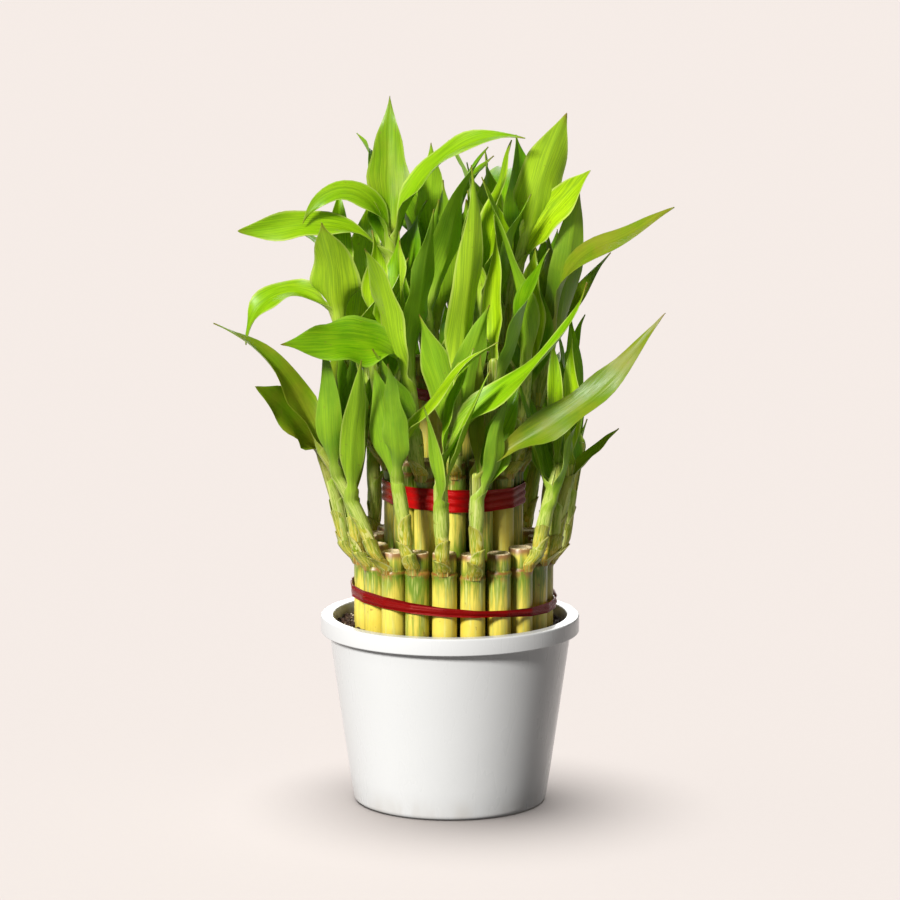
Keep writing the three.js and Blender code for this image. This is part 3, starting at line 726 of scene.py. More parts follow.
def sheet_loops(spots, sides, faces, x, y, thick_up, thick_down):
    """The rows of points round a sheet: over its top and back along its underside."""
    dx, dy = np.gradient(x, axis=1), np.gradient(y, axis=1)
    size = np.sqrt(dx * dx + dy * dy) + 1e-9
    nx, ny = -dy / size, dx / size

    def surface(offset):
        across = (x + nx * offset)[..., None] * sides[:, None]
        return spots[:, None] + across + (y + ny * offset)[..., None] * faces[:, None]

    return np.concatenate([surface(thick_up), surface(-thick_down)[:, ::-1]], 1)


def leaf_form(leaf, half, curl, t, u, look):
    """How far each point of a leaf lies across and above its middle line."""
    blade, opened = np.clip(t, 0, 1), smooth(t / LEAF_OPEN)
    angle = curl * half * u
    x = np.sin(angle) / curl
    y = (1 - np.cos(angle)) / curl
    fold = FOLD * (1.25 + 0.45 * look() - 0.6 * blade)
    y = y + opened * fold * half * (np.sqrt(u * u + 0.03) - math.sqrt(0.03))
    swell = leaf["width"] / 2 * (0.09 + 0.13 * look.part())
    swell = swell * opened * np.sin(np.pi * blade) ** 0.7
    waves = 1.2 + 1.6 * look.part()
    left, right = 3.1 * look(), 3.1 * look()
    phase = np.where(u < 0, left, right) + 2 * np.pi * waves * t
    y = y + swell * np.sin(phase) * np.abs(u) ** 2.2
    x = x * (1 + 0.07 * opened * np.sin(phase * 1.4 + 1) * (1 - blade ** 4))
    return x, y


def add_leaf(shape, leaf, stalk, rank, look):
    spots, sides, faces, half, curl, t = sections_of(leaf, stalk, rank, look)
    half, curl, t = half[:, None], curl[:, None], t[:, None]
    u = np.linspace(-1, 1, LEAF_COLUMNS)[None]
    x, y = leaf_form(leaf, half, curl, t, u, look)
    opened, foot = smooth(t / LEAF_OPEN), smooth((t + 1) / 0.35)
    thick = LEAF_THICKNESS * (1 - 0.72 * np.abs(u) ** 3) * (0.7 + 0.3 * opened) * (0.2 + 0.8 * foot)
    rib = bell(half * u, 0, RIB_HALF) * opened * (1 - 0.6 * np.clip(t, 0, 1))
    up, down = thick / 2 - RIB_DIP * rib, thick / 2 + RIB_KEEL * rib
    shape.tube(
        sheet_loops(spots, sides, faces, x, y, up, down),
        along=t,
        across=there_and_back(half * u) + 40 * leaf["browned"],
        tint=leaf["tint"],
        aged=np.clip(leaf["aged"] + leaf["browned"] * smooth((t - 0.88) / 0.12), 0, 1),
        under=np.concatenate([np.zeros_like(u), np.ones_like(u)], 1),
        edge=there_and_back(np.abs(u)),
    )


def add_bract(shape, stalk, low, size, turn, look):
    """A short pointed scale that clasps the foot of a shoot and stands off a little at its tip."""
    part = np.linspace(0, 1, BRACT_ROWS)
    s = low + part * size / stalk["lean"][0]
    out, level = flat(turn), flat(turn + 90)
    radius = swollen_radius(s) + 0.1 + 0.22 * smooth(part * 3)
    radius = radius + (0.7 + 0.5 * look.part()) * part ** 3
    wide = BRACT_WRAP * np.sqrt(np.clip(1 - part ** 1.5, 0.0004, 1))
    spots = shoot_point(stalk, s) + out * radius[:, None]
    part, radius = part[:, None], radius[:, None]
    u = np.linspace(-1, 1, BRACT_COLUMNS)[None]
    angle = wide[:, None] * u
    x, y = radius * np.sin(angle), radius * (1 - np.cos(angle))
    ones = np.ones_like(part)
    thick = BRACT_HALF * np.minimum(1, 0.3 + 3 * part) * np.ones_like(angle)
    shape.tube(
        sheet_loops(spots, ones * level, ones * -out, x, y, thick, thick),
        along=part * 0.7 - 1.9,
        across=there_and_back(x),
        tint=stalk["tint"],
        aged=(0.35 + 0.6 * look.part()) * part ** 1.5,
        edge=there_and_back(np.abs(u) * ones),
    )


def add_shoot(shape, stalk, look):
    """The shoot's stem, swollen at its root, with the rings of its first scales."""
    s = np.concatenate([np.linspace(0, 0.3, 22), np.linspace(0.3, 0.97, 16)[1:], list(STEM_TIP)])
    radius = swollen_radius(s)
    rings = np.zeros_like(s)
    for ring in STEM_RINGS:
        place = ring + 0.015 * look()
        radius = radius + STEM_RIDGE * bell(s, place, 0.012)
        radius = radius - 0.1 * smooth((s - place) / 0.03)
        rings = np.maximum(rings, bell(s - place, 0.012, 0.01))
    radius[-len(STEM_TIP):] *= list(STEM_TIP.values())
    around = circle(1, SHOOT_SIDES, stalk["turn"])
    knobs = [[noise.noise(Vector((3 * x + stalk["turn"], 3 * y, 14 * k))) for x, y, _ in around] for k in s]
    radius = radius[:, None] * (1 + ROOT_KNOBS * np.array(knobs) * bell(s, 0, 0.24)[:, None])
    sections = shoot_point(stalk, s)[:, None] + around[None] * radius[..., None]
    shape.tube(
        sections, along=(s * 0.9 - 2)[:, None], across=sections[..., 0], tint=stalk["tint"],
        aged=rings[:, None],
    )
    hand = 1 if look() > 0 else -1
    for k, (low, size) in enumerate(BRACTS):
        turn = stalk["turn"] + hand * (70 - 140 * (k % 2)) + 25 * look()
        add_bract(shape, stalk, low + 0.02 * look(), size * (1 + 0.2 * look()), turn, look)


def make_shoot(stalk, grown, material, look):
    shape = Shape()
    add_shoot(shape, stalk, look)
    own = sorted((leaf for leaf in grown if leaf["key"] == stalk["key"]), key=lambda one: -one["at"])
    for rank, leaf in enumerate(own):
        add_leaf(shape, leaf, stalk, rank, look)
    return shape.piece(stalk["name"].replace("stalk", "shoot"), material, "leaf", stalk["name"])


def cane_heights(stalk, nodes):
    """Heights up to the cut, close together at the nodes."""
    low, top = SOIL_TOP - CANE_DEPTH, stalk["top"]
    heights = set(np.linspace(low, top, int((top - low) / 5) + 2).tolist())
    for node in nodes:
        heights |= {node + step for step in NODE_STEPS}
    return np.array(sorted(h for h in heights if low <= h <= top - 0.6) + [top - 0.35])


def cane_wall(stalk, nodes, turn, look):
    """Heights along the cane's wall, the radius there in each direction, and the leaf scars."""
    z = cane_heights(stalk, nodes)
    scar, ridge = np.zeros_like(z), np.zeros_like(z)
    for node in nodes:
        ridge += NODE_RIDGE * bell(z, node, 0.85)
        ridge -= NODE_GROOVE * bell(z - node, 1.5, 0.45)
        scar = np.maximum(scar, bell(z - node, 0.7, 0.65))
    base = stalk["radius"] * np.where(z > stalk["node"] + 1.3, CUT_TAPER, 1)
    oval = 1 - 0.012 * (1 + np.cos(2 * turn + 3 * look()))[None]
    radius = (base + ridge)[:, None] * oval
    radius[-1] *= 0.985
    return z, radius, scar


def cane_cut(stalk, around, turn, rim):
    """The rings of the cut top, which has sunk a little in the middle and is rough there."""
    tops = []
    for share, rise in CUT_RINGS:
        rough = np.array([noise.noise(Vector((share * 9, k * 0.7, stalk["turn"]))) for k in turn])
        height = stalk["top"] + rise + CUT_ROUGH * rough * (share < 0.9)
        tops.append(stalk["axis"] + around * (rim * share)[:, None] + upward(height))
    return np.array(tops)


def make_cane(stalk, material, look):
    spacing = NODE_SPACING * (1 + 0.12 * look())
    nodes = [stalk["node"] - spacing * k for k in range(NODES)]
    nodes = [node for node in nodes if node > SOIL_TOP - NODE_DEEPEST]
    turn = np.arange(CANE_SIDES) * 2 * np.pi / CANE_SIDES
    z, radius, scar = cane_wall(stalk, nodes, turn, look)
    around = circle(1, CANE_SIDES, stalk["turn"])
    wall = stalk["axis"] + around[None] * radius[..., None] + upward(z)[:, None]
    tops = cane_cut(stalk, around, turn, radius[-1])
    near = np.max([np.exp(-np.abs(z - node) / 9) for node in nodes], 0)
    zero = np.zeros(len(tops))
    shape = Shape()
    shape.tube(
        np.concatenate([wall, tops]),
        along=np.append(z, zero + stalk["top"])[:, None] - SOIL_TOP,
        across=np.append(near, zero)[:, None],
        tint=stalk["tint"],
        aged=np.append(scar, zero)[:, None],
        under=np.concatenate([np.zeros(len(z) - 1), [0.4], zero + 1])[:, None],
    )
    return shape.piece(stalk["name"].replace("stalk", "cane"), material, "cane", stalk["name"])


def wall_radius(z):
    reach = (z - FOOT_EDGE) / (RIM_HEIGHT - FOOT_EDGE)
    return WALL_FOOT_RADIUS + (WALL_TOP_RADIUS - WALL_FOOT_RADIUS) * reach


def inner_radius(z):
    return wall_radius(z) - WALL


def rounded(corners, steps=5):
    """The outline through corners, each given as radius, height and size of its rounding."""
    points = [np.array(corner[:2], float) for corner in corners]
    made = [points[0]]
    for k in range(1, len(points) - 1):
        before, here, after = points[k - 1], points[k], points[k + 1]
        size = corners[k][2]
        start = here + (before - here) / np.linalg.norm(before - here) * size
        end = here + (after - here) / np.linalg.norm(after - here) * size
        for j in range(steps + 1):
            t = j / steps
            made.append((1 - t) ** 2 * start + 2 * t * (1 - t) * here + t * t * end)
    return made + [points[-1]]


def pot_corners():
    """Radius, height and rounding of the pot's corners, from under its foot to its floor."""
    band = RIM_HEIGHT - RIM_BAND
    return [
        (0, FOOT_RECESS, 0),
        (WALL_FOOT_RADIUS - 6, FOOT_RECESS, 0.6),
        (WALL_FOOT_RADIUS - 4.6, 0, 0.6),
        (WALL_FOOT_RADIUS - 0.6, 0, 2.2),
        *((wall_radius(z), z, 0.01) for z in np.linspace(12, 66, 7)),
        (wall_radius(band), band, 0.5),
        (RIM_RADIUS, band, 0.6),
        (RIM_RADIUS, RIM_HEIGHT, 0.9),
        (inner_radius(RIM_HEIGHT), RIM_HEIGHT, 0.9),
        (inner_radius(FLOOR_TOP), FLOOR_TOP, INNER_ROUND),
        (0, FLOOR_TOP, 0),
    ]


def make_pot(material):
    shape = Shape()
    shape.tube(lathe(rounded(pot_corners()), POT_SIDES))
    return shape.piece("pot_shell", material, "pot", "pot", sharp=50)


def soil_rim():
    return inner_radius(SOIL_TOP - SOIL_DOME) - SOIL_GAP


def soil_height(x, y):
    share = (x * x + y * y) / soil_rim() ** 2
    lumps = noise.fractal(Vector((x * 0.16, y * 0.16, 3)), 1, 2, 3)
    clods = noise.fractal(Vector((x * 0.6, y * 0.6, 9)), 1, 2, 2)
    bed = SOIL_TOP + SOIL_RISE - (SOIL_DOME + SOIL_RISE) * share
    return bed + SOIL_LUMPS * lumps + SOIL_CLODS * clods


def soil_spots(holes, rng):
    """Places all over the soil, a little off a regular grid and clear of its holes."""
    rim = soil_rim()
    side = np.arange(-rim, rim, SOIL_GRID)
    x, y = np.meshgrid(side, side)
    x = x.ravel() + rng.uniform(-0.4, 0.4, x.size) * SOIL_GRID
    y = y.ravel() + rng.uniform(-0.4, 0.4, y.size) * SOIL_GRID
    keep = np.hypot(x, y) < rim - 0.5
    for (hx, hy), radius in holes:
        keep &= np.hypot(x - hx, y - hy) > radius + 0.4
    return np.stack([x[keep], y[keep]], -1)


def soil_top(holes, rng):
    """Points and triangles of the soil's top, which leave its holes open."""
    rim = soil_rim()
    rings = [circle(rim, POT_SIDES)[:, :2]]
    rings += [circle(radius, HOLE_SIDES)[:, :2] + centre for centre, radius in holes]
    edges, start = [], 0
    for ring in rings:
        n = len(ring)
        edges += [(start + j, start + (j + 1) % n) for j in range(n)]
        start += n
    places = [Vector(p) for p in np.vstack([*rings, soil_spots(holes, rng)])]
    points, _, triangles = delaunay_2d_cdt(places, edges, [], 0, 1e-4)[:3]
    points = np.array([tuple(p) for p in points])
    centres = points[np.array(triangles)].mean(1)
    keep = np.hypot(*centres.T) < rim * 0.9999
    for centre, radius in holes:
        keep &= np.hypot(*(centres - centre).T) > radius * 0.985
    return points, [face for face, kept in zip(triangles, keep) if kept]


def faces_of(form):
    return [tuple(v.index for v in face.verts) for face in form.faces]


def make_soil(found, material, rng):
    holes = [(stalk["axis"][:2], stalk["radius"] + HOLE_GAP) for stalk in found]
    spots, faces = soil_top(holes, rng)
    form = bmesh.new()
    made = [form.verts.new((x, y, soil_height(x, y))) for x, y in spots]
    for face in faces:
        form.faces.new([made[k] for k in face])
    loose = [v for v in made if not v.link_faces]
    bmesh.ops.delete(form, geom=loose, context="VERTS")
    close_soil(form)
    form.verts.index_update()
    shape = Shape()
    shape.add([tuple(v.co) for v in form.verts], faces_of(form))
    form.free()
    add_crumbs(shape, holes, rng)
    return shape.piece("potting_soil", material, "soil", "soil", sharp=80)


def open_edges(form):
    return [edge for edge in form.edges if edge.is_boundary]


def close_soil(form):
    """Walls go down from every open edge of the soil's top to a floor of their own."""
    low = FLOOR_TOP + SOIL_FLOOR_GAP
    grown = bmesh.ops.extrude_edge_only(form, edges=open_edges(form))["geom"]
    fresh = [item for item in grown if isinstance(item, bmesh.types.BMVert)]
    for v in fresh:
        out = math.hypot(v.co.x, v.co.y)
        if out > soil_rim() - 0.5:
            share = (inner_radius(low) - SOIL_GAP - 1) / out
            v.co = Vector((v.co.x * share, v.co.y * share, low))
        else:
            v.co.z = SOIL_TOP - CANE_DEPTH - SOIL_FLOOR_GAP
    bmesh.ops.contextual_create(form, geom=open_edges(form))
    bmesh.ops.holes_fill(form, edges=open_edges(form), sides=0)


def ball(detail):
    form = bmesh.new()
    bmesh.ops.create_icosphere(form, subdivisions=detail, radius=1)
    points, faces = np.array([tuple(v.co) for v in form.verts]), faces_of(form)
    form.free()
    return points, faces


def add_crumbs(shape, holes, rng):
    """Crumbs of soil and pale grains, each a lump of its own form, pressed into the surface."""
    points, faces = ball(2)
    rim = soil_rim()
    placed = 0
    while placed < CRUMBS + GRAINS:
        pale = placed >= CRUMBS
        size = rng.uniform(*GRAIN_SIZES) if pale else rng.uniform(*CRUMB_SIZES) * rng.uniform(0.6, 1)
        out, turn = (rim - size) * math.sqrt(rng.uniform(0, 1)), rng.uniform(0, 2 * math.pi)
        x, y = out * math.cos(turn), out * math.sin(turn)
        if any(math.hypot(x - hx, y - hy) < r + size * 0.8 for (hx, hy), r in holes):
            continue
        shift = Vector(rng.uniform(-50, 50, 3))
        bumps = [1 + 0.5 * noise.noise(Vector(p) * 1.3 + shift) for p in points]
        stretch = rng.uniform(0.7, 1.25, 3) * (1, 1, 0.75)
        lump = points * np.array(bumps)[:, None] * stretch * size
        lump = lump + (x, y, soil_height(x, y) + size * rng.uniform(0.05, 0.4))
        shape.add(lump, faces, tint=rng.uniform(0, 1), aged=1.0 if pale else 0.0)
        placed += 1


# Ribbons


def ribbon_height(ribbon, degrees):
    return SOIL_TOP + ribbon["height"] - ribbon["tilt"] * np.cos(np.radians(degrees))


def around_bundle(out, degrees, z):
    return flat(degrees) * np.expand_dims(out, -1) + BUNDLE + upward(z)


def ribbon_reach(ribbon):
    return RINGS[ribbon["ring"]]["radius"] + CANE_RADIUS + RIBBON_GAP + RIBBON_THICKNESS


def knot_middle(ribbon):
    out = ribbon_reach(ribbon) + KNOT_OUT
    return around_bundle(out, ribbon["knot"], ribbon_height(ribbon, ribbon["knot"]))


def tail_point(ribbon, hand, s):
    out = ribbon_reach(ribbon) + TAIL_OUT + TAIL_LIFT * np.sin(np.pi * s * 0.6)
    degrees = ribbon["knot"] + np.degrees(hand * TAIL * s / out)
    return around_bundle(out, degrees, ribbon_height(ribbon, ribbon["knot"]) - TAIL_DROP * s * s)


def knot_points(ribbon):
    s = np.array([0.3, 0.6, 1])
    return np.vstack([knot_middle(ribbon), tail_point(ribbon, -1, s), tail_point(ribbon, 1, s)])


def wrap(ribbon):
    """Where a ribbon runs: along each cane's outer side, then straight to the next one."""
    ring = RINGS[ribbon["ring"]]
    share = 360 / ring["count"]
    start = ring["first"] + share * round((ribbon["knot"] - ring["first"]) / share)
    bases, turns = [], []
    for i in range(ring["count"]):
        here, there = [around_bundle(ring["radius"], start + share * (i + k), 0.0) for k in (0, 1)]
        for part in (-0.5, -0.25, 0, 0.25):
            bases.append(here)
            turns.append(start + share * (i + part))
        for part in (0, 0.25, 0.5, 0.75):
            bases.append(here + (there - here) * part)
            turns.append(start + share * (i + 0.5))
    return np.array(bases), np.array(turns)


def strand(shape, ribbon, width, lift, out, folds, seed):
    """A band of cloth round the bundle. Its width, lift and distance change on the way round."""
    bases, turns = wrap(ribbon)
    spots = bases + flat(turns) * CANE_RADIUS - BUNDLE
    radians = np.unwrap(np.arctan2(spots[:, 1], spots[:, 0]))[:, None]
    degrees = np.degrees(radians)
    u = np.linspace(-1, 1, RIBBON_COLUMNS)[None]
    gather = bell((degrees - ribbon["knot"] + 180) % 360 - 180, 0, 16)
    half = width(radians) / 2 * (1 - 0.35 * gather)
    drift = 1.1 * np.sin(radians + seed) + 0.6 * np.sin(3 * radians + 2 * seed)
    crease = np.abs(np.sin(folds * np.pi / 2 * (u + 1) + drift))
    depth = (RIBBON_CREASE + 0.14 * np.sin(5 * radians + seed)) * (1 + 0.4 * gather)
    lip = 0.12 * np.abs(u) ** 6
    face = CANE_RADIUS + RIBBON_NEAR + RIBBON_SHEET + out(radians) + depth * crease + lip
    height = ribbon_height(ribbon, degrees) + lift(radians) + half * u
    edge = 1 - 0.5 * np.abs(u) ** 8

    def skin(offset):
        return bases[:, None] + flat(turns)[:, None] * offset[..., None] + upward(height)

    loop = np.concatenate([skin(face), skin(face - RIBBON_SHEET * edge)[:, ::-1]], 1)
    along, across = ribbon_reach(ribbon) * radians, there_and_back(half * u)
    shape.tube(loop, closed=True, along=along, across=across, tint=ribbon["dark"])


def add_knot(shape, ribbon):
    """The knot is cloth gathered into a tight lump, with its turns across it."""
    middle = knot_middle(ribbon)
    out, level = flat(ribbon["knot"]), flat(ribbon["knot"] + 90)
    rows = []
    for k in range(KNOT_ROWS):
        rise = math.pi * 0.94 * (k / (KNOT_ROWS - 1) - 0.5)
        ring = []
        for j in range(KNOT_SIDES):
            turn = 2 * math.pi * j / KNOT_SIDES
            pleat = 1 + 0.09 * math.cos(5 * turn + 2.2 * rise) * math.cos(rise)
            wide = KNOT * math.cos(rise) * pleat
            x, y = wide * math.cos(turn), wide * KNOT_DEPTH * 1.25 * math.sin(turn)
            ring.append(middle + level * x + out * y + upward(KNOT * math.sin(rise) * 0.95))
        rows.append(ring)
    rows = np.array(rows)
    shape.tube(rows, along=rows[..., 0], across=rows[..., 2] - middle[2], tint=ribbon["dark"])


def add_tail(shape, ribbon, hand):
    """A loose end: a strip that opens towards its cut, which is notched."""
    s = np.linspace(0.03, 1, 22)
    middle = tail_point(ribbon, hand, s)[:, None]
    s = s[:, None]
    u = np.linspace(-1, 1, 13)[None]
    half = TAIL_ROOT_HALF + (TAIL_TIP_HALF - TAIL_ROOT_HALF) * s
    notch = 1 - TAIL_NOTCH * (1 - np.abs(u)) * smooth((s - 0.75) / 0.25)
    fold = 0.35 * (1 - s) * np.cos(2.5 * np.pi * u) + 0.3 * u ** 2 * s
    spots = middle[0] + (middle - middle[0]) * notch[..., None]
    spots = spots + upward(half * u * (1 + 0.08 * np.sin(7 * s)))
    front, back = (
        spots + flat(ribbon["knot"]) * (fold + side)[..., None]
        for side in (TAIL_SHEET_HALF, -TAIL_SHEET_HALF)
    )
    loop = np.concatenate([front, back[:, ::-1]], 1)
    across = there_and_back(half * u)
    shape.tube(loop, along=s * TAIL, across=across, tint=ribbon["dark"])


def make_ribbon(name, material):
    ribbon = RIBBONS[name]
    shape = Shape()
    if name == "ribbon_lower":
        crossing = math.radians(CROSSING)
        for hand, seed in STRANDS:
            strand(
                shape, ribbon,
                width=lambda a: STRAND_WIDTH + 0.3 * np.sin(4 * a + seed),
                lift=lambda a: hand * STRAND_LIFT * np.sin(a - crossing),
                out=lambda a: STRAND_OUT * (1 + hand * np.cos(a - crossing)),
                folds=1, seed=seed,
            )
    else:
        strand(
            shape, ribbon,
            width=lambda a: ribbon["width"] * (0.94 + 0.05 * np.sin(3 * a)),
            lift=lambda a: 0.15 * np.sin(2 * a),
            out=lambda a: 0 * a,
            folds=ribbon["folds"], seed=2.4,
        )
    add_knot(shape, ribbon)
    for hand in (-1, 1):
        add_tail(shape, ribbon, hand)
    return shape.piece(f"{name}_satin", material, "ribbon", name, sharp=70)


# Materials


class Look:
    """A material being made. Each call adds a node and gives back its output."""

    def __init__(self, name):
        self.material = bpy.data.materials.new(name)
        self.material.use_nodes = True
        self.tree = self.material.node_tree
        self.shader = self.tree.nodes["Principled BSDF"]
        self.surface = self.tree.nodes["Material Output"].inputs["Surface"]

    def feed(self, socket, value):
        if isinstance(value, bpy.types.NodeSocket):
            self.tree.links.new(value, socket)
        elif hasattr(socket.default_value, "__len__") and len(socket.default_value) == 4:
            socket.default_value = (*value, 1)[:4]
        else:
            socket.default_value = value

    def node(self, kind, inputs, output=0, **settings):
        made = self.tree.nodes.new(kind)
        for name, value in settings.items():
            setattr(made, name, value)
        for name, value in inputs.items():
            self.feed(made.inputs[name], value)
        return made.outputs[output]

    def attribute(self, name):
        return self.node("ShaderNodeAttribute", {}, "Fac", attribute_name=name)

    def place(self):
        return self.node("ShaderNodeTexCoord", {}, "Object")

    def vector(self, x, y, z):
        return self.node("ShaderNodeCombineXYZ", {"X": x, "Y": y, "Z": z})

    def upright(self, vector, scale):
        """The vector with its height scaled, which draws noise out up and down."""
        return self.node("ShaderNodeMapping", {"Vector": vector, "Scale": (1, 1, scale)})

    def noise(self, vector, scale, detail, rough=0.5):
        inputs = {"Vector": vector, "Scale": scale, "Detail": detail, "Roughness": rough}
        return self.node("ShaderNodeTexNoise", inputs)

    def math(self, operation, a, b):
        return self.node("ShaderNodeMath", {0: a, 1: b}, operation=operation)

    def times(self, a, b):
        return self.math("MULTIPLY", a, b)

    def plus(self, a, b):
        return self.math("ADD", a, b)

    def span(self, value, low, high, first=0.0, last=1.0):
        inputs = {"Value": value, "From Min": low, "From Max": high, "To Min": first, "To Max": last}
        return self.node("ShaderNodeMapRange", inputs, interpolation_type="SMOOTHSTEP")

    def mix(self, part, a, b):
        return self.node("ShaderNodeMix", {0: part, 6: a, 7: b}, 2, data_type="RGBA")

    def coats(self, colour, *coats):
        """Colours over a first one: each where its value lies within a span, up to a share."""
        for value, low, high, share, tint in coats:
            colour = self.mix(self.span(value, low, high, 0, share), colour, tint)
        return colour

    def ramp(self, value, *stops):
        made = self.tree.nodes.new("ShaderNodeValToRGB")
        self.feed(made.inputs[0], value)
        points = made.color_ramp.elements
        while len(points) < len(stops):
            points.new(0.5)
        for point, (place, colour) in zip(points, stops):
            point.position = place
            point.color = (*colour, 1)
        return made.outputs[0]

    def bump(self, *heights):
        """Bumps on top of each other, each a height, its depth in metres and its strength."""
        normal = None
        for height, depth, strength in heights:
            inputs = {"Height": height, "Distance": depth, "Strength": strength}
            if normal:
                inputs["Normal"] = normal
            normal = self.node("ShaderNodeBump", inputs)
        self.feed(self.shader.inputs["Normal"], normal)
        return normal

    def finish(self, **inputs):
        for name, value in inputs.items():
            self.feed(self.shader.inputs[name.replace("_", " ")], value)
        return self.material


def leaf_green(look, along, tint, edge, veins, fine, patches):
    """The blade's green, darker at its veins and tip and paler at its foot and margin."""
    green = look.coats(
        look.ramp(tint, *LEAF_GREENS),
        (patches, 0.35, 0.7, 0.5, (0.38, 0.62, 0.005)),
        (veins, 0.4, 0.62, 0.5, (0.05, 0.19, 0.001)),
        (fine, 0.5, 0.7, 0.3, (0.56, 0.7, 0.02)),
        (along, 0.45, 1, 0.35, (0.1, 0.28, 0.002)),
        (along, 0.3, 0, 0.4, (0.5, 0.62, 0.05)),
    )
    margin = look.times(look.span(edge, 0.84, 0.97), look.span(tint, 0.35, 0.8, 0.1, 0.7))
    return look.mix(margin, green, (0.6, 0.68, 0.16))


def stem_pale(look, along, across, tint, edge, fine):
    """The streaked pale yellow-green of the stem and the sheaths."""
    streaks = look.noise(look.vector(across, look.times(along, 0.7), tint), 1.7, 3, 0.6)
    return look.coats(
        look.ramp(look.times(look.plus(along, 2), 0.5), *STEM_PALES),
        (streaks, 0.44, 0.6, 0.85, (0.17, 0.32, 0.006)),
        (fine, 0.48, 0.66, 0.7, (0.88, 0.86, 0.32)),
        (edge, 0.8, 0.97, 0.75, (0.85, 0.82, 0.36)),
    )


def leaf_wear(look, colour, along, aged, patches, place):
    """The brown of old places, of the leaf's very tip and of small flecks."""
    spots = look.noise(place, 210, 2, 0.6)
    worn = look.times(aged, look.span(patches, 0.25, 0.7, 0.35, 1))
    colour = look.mix(worn, colour, look.mix(spots, *LEAF_TANS))
    tip = look.times(look.span(along, 0.955, 0.995), look.span(spots, 0.35, 0.6))
    colour = look.mix(look.times(tip, 0.8), colour, (0.24, 0.15, 0.03))
    return look.coats(colour, (look.noise(place, 420, 1), 0.73, 0.78, 0.5, (0.24, 0.2, 0.03)))


def leaf_material():
    look = Look("bamboo_leaf")
    along, across, tint, aged, under, edge = (look.attribute(name) for name in LOOKS)
    place = look.place()
    veins = look.noise(look.vector(across, look.times(along, 1.2), tint), 2.6, 2, 0.6)
    fine = look.noise(look.vector(across, look.times(along, 0.8), tint), 6.5, 1)
    patches = look.noise(place, 55, 3, 0.55)
    green = leaf_green(look, along, tint, edge, veins, fine, patches)
    pale = stem_pale(look, along, across, tint, edge, fine)
    colour = look.mix(look.span(along, -0.15, 0.24), pale, green)
    colour = look.mix(look.times(under, 0.28), colour, (0.36, 0.52, 0.06))
    colour = leaf_wear(look, colour, along, aged, patches, place)
    rough = look.span(patches, 0.3, 0.7, 0.3, 0.44)
    look.finish(Base_Color=colour, Roughness=rough, Specular_IOR_Level=0.26)
    normal = look.bump((veins, 0.0002, 0.5), (fine, 0.0001, 0.35), (patches, 0.0008, 0.25))
    through = look.node("ShaderNodeBsdfTranslucent", {
        "Color": look.mix(0.5, colour, (0.52, 0.76, 0.004)), "Normal": normal,
    })
    both = look.node("ShaderNodeMixShader", {0: 0.3, 1: look.shader.outputs[0], 2: through})
    look.feed(look.surface, both)
    return look.material


def cane_skin(look, tint, near, clouds, streaks):
    """Yellow, and greener in streaks towards the nodes."""
    part = look.plus(look.times(tint, 0.6), look.times(near, 0.8))
    part = look.plus(part, look.span(streaks, 0.3, 0.7, -0.3, 0.3))
    yellow, green = look.mix(clouds, *CANE_YELLOWS), look.mix(clouds, *CANE_GREENS)
    skin = look.mix(look.span(part, 0.25, 1), yellow, green)
    return look.coats(skin, (streaks, 0.52, 0.7, 0.5, (0.9, 0.84, 0.27)))


def cane_wear(look, colour, height, near, scar, clouds, place):
    """Soil at the foot, rust on the leaf scars, flecks, and bark close to the nodes."""
    soiled = look.times(look.span(height, 5, -1), look.span(clouds, 0.3, 0.7, 0.2, 1))
    colour = look.mix(look.times(soiled, 0.7), colour, (0.16, 0.09, 0.03))
    ring = look.times(scar, look.span(look.noise(place, 500, 2), 0.3, 0.6, 0.45, 1))
    colour = look.mix(ring, colour, look.mix(clouds, *CANE_RUSTS))
    colour = look.coats(colour, (look.noise(place, 330, 2), 0.68, 0.76, 0.6, (0.22, 0.1, 0.02)))
    bark = look.span(look.noise(look.upright(place, 0.5), 240, 4, 0.7), 0.5, 0.62)
    bark = look.times(bark, look.span(near, 0.62, 0.95, 0, 0.85))
    return look.mix(bark, colour, look.mix(clouds, *CANE_BARKS))


def cane_material():
    look = Look("bamboo_cane")
    height, near, tint, scar, cut, _ = (look.attribute(name) for name in LOOKS)
    place = look.place()
    clouds = look.noise(place, 60, 3, 0.6)
    streaks = look.noise(look.upright(place, 0.07), 700, 3, 0.6)
    fibres = look.noise(look.upright(place, 0.03), 2600, 1)
    colour = cane_skin(look, tint, near, clouds, streaks)
    colour = cane_wear(look, colour, height, near, scar, clouds, place)
    wood = look.mix(look.span(look.noise(place, 1500, 1), 0.5, 0.66), *CUT_WOODS)
    wood = look.mix(look.span(cut, 0.3, 0.75), (0.3, 0.15, 0.05), wood)
    look.bump((streaks, 0.0003, 0.25), (fibres, 0.0001, 0.3), (clouds, 0.001, 0.15))
    rough = look.span(clouds, 0.3, 0.7, 0.34, 0.5)
    return look.finish(
        Base_Color=look.mix(look.span(cut, 0.1, 0.35), colour, wood),
        Roughness=look.math("MAXIMUM", rough, look.times(cut, 0.8)),
        Subsurface_Weight=0.08,
        Subsurface_Radius=(0.003, 0.002, 0.0006),
        Coat_Weight=0.1,
        Coat_Roughness=0.3,
    )


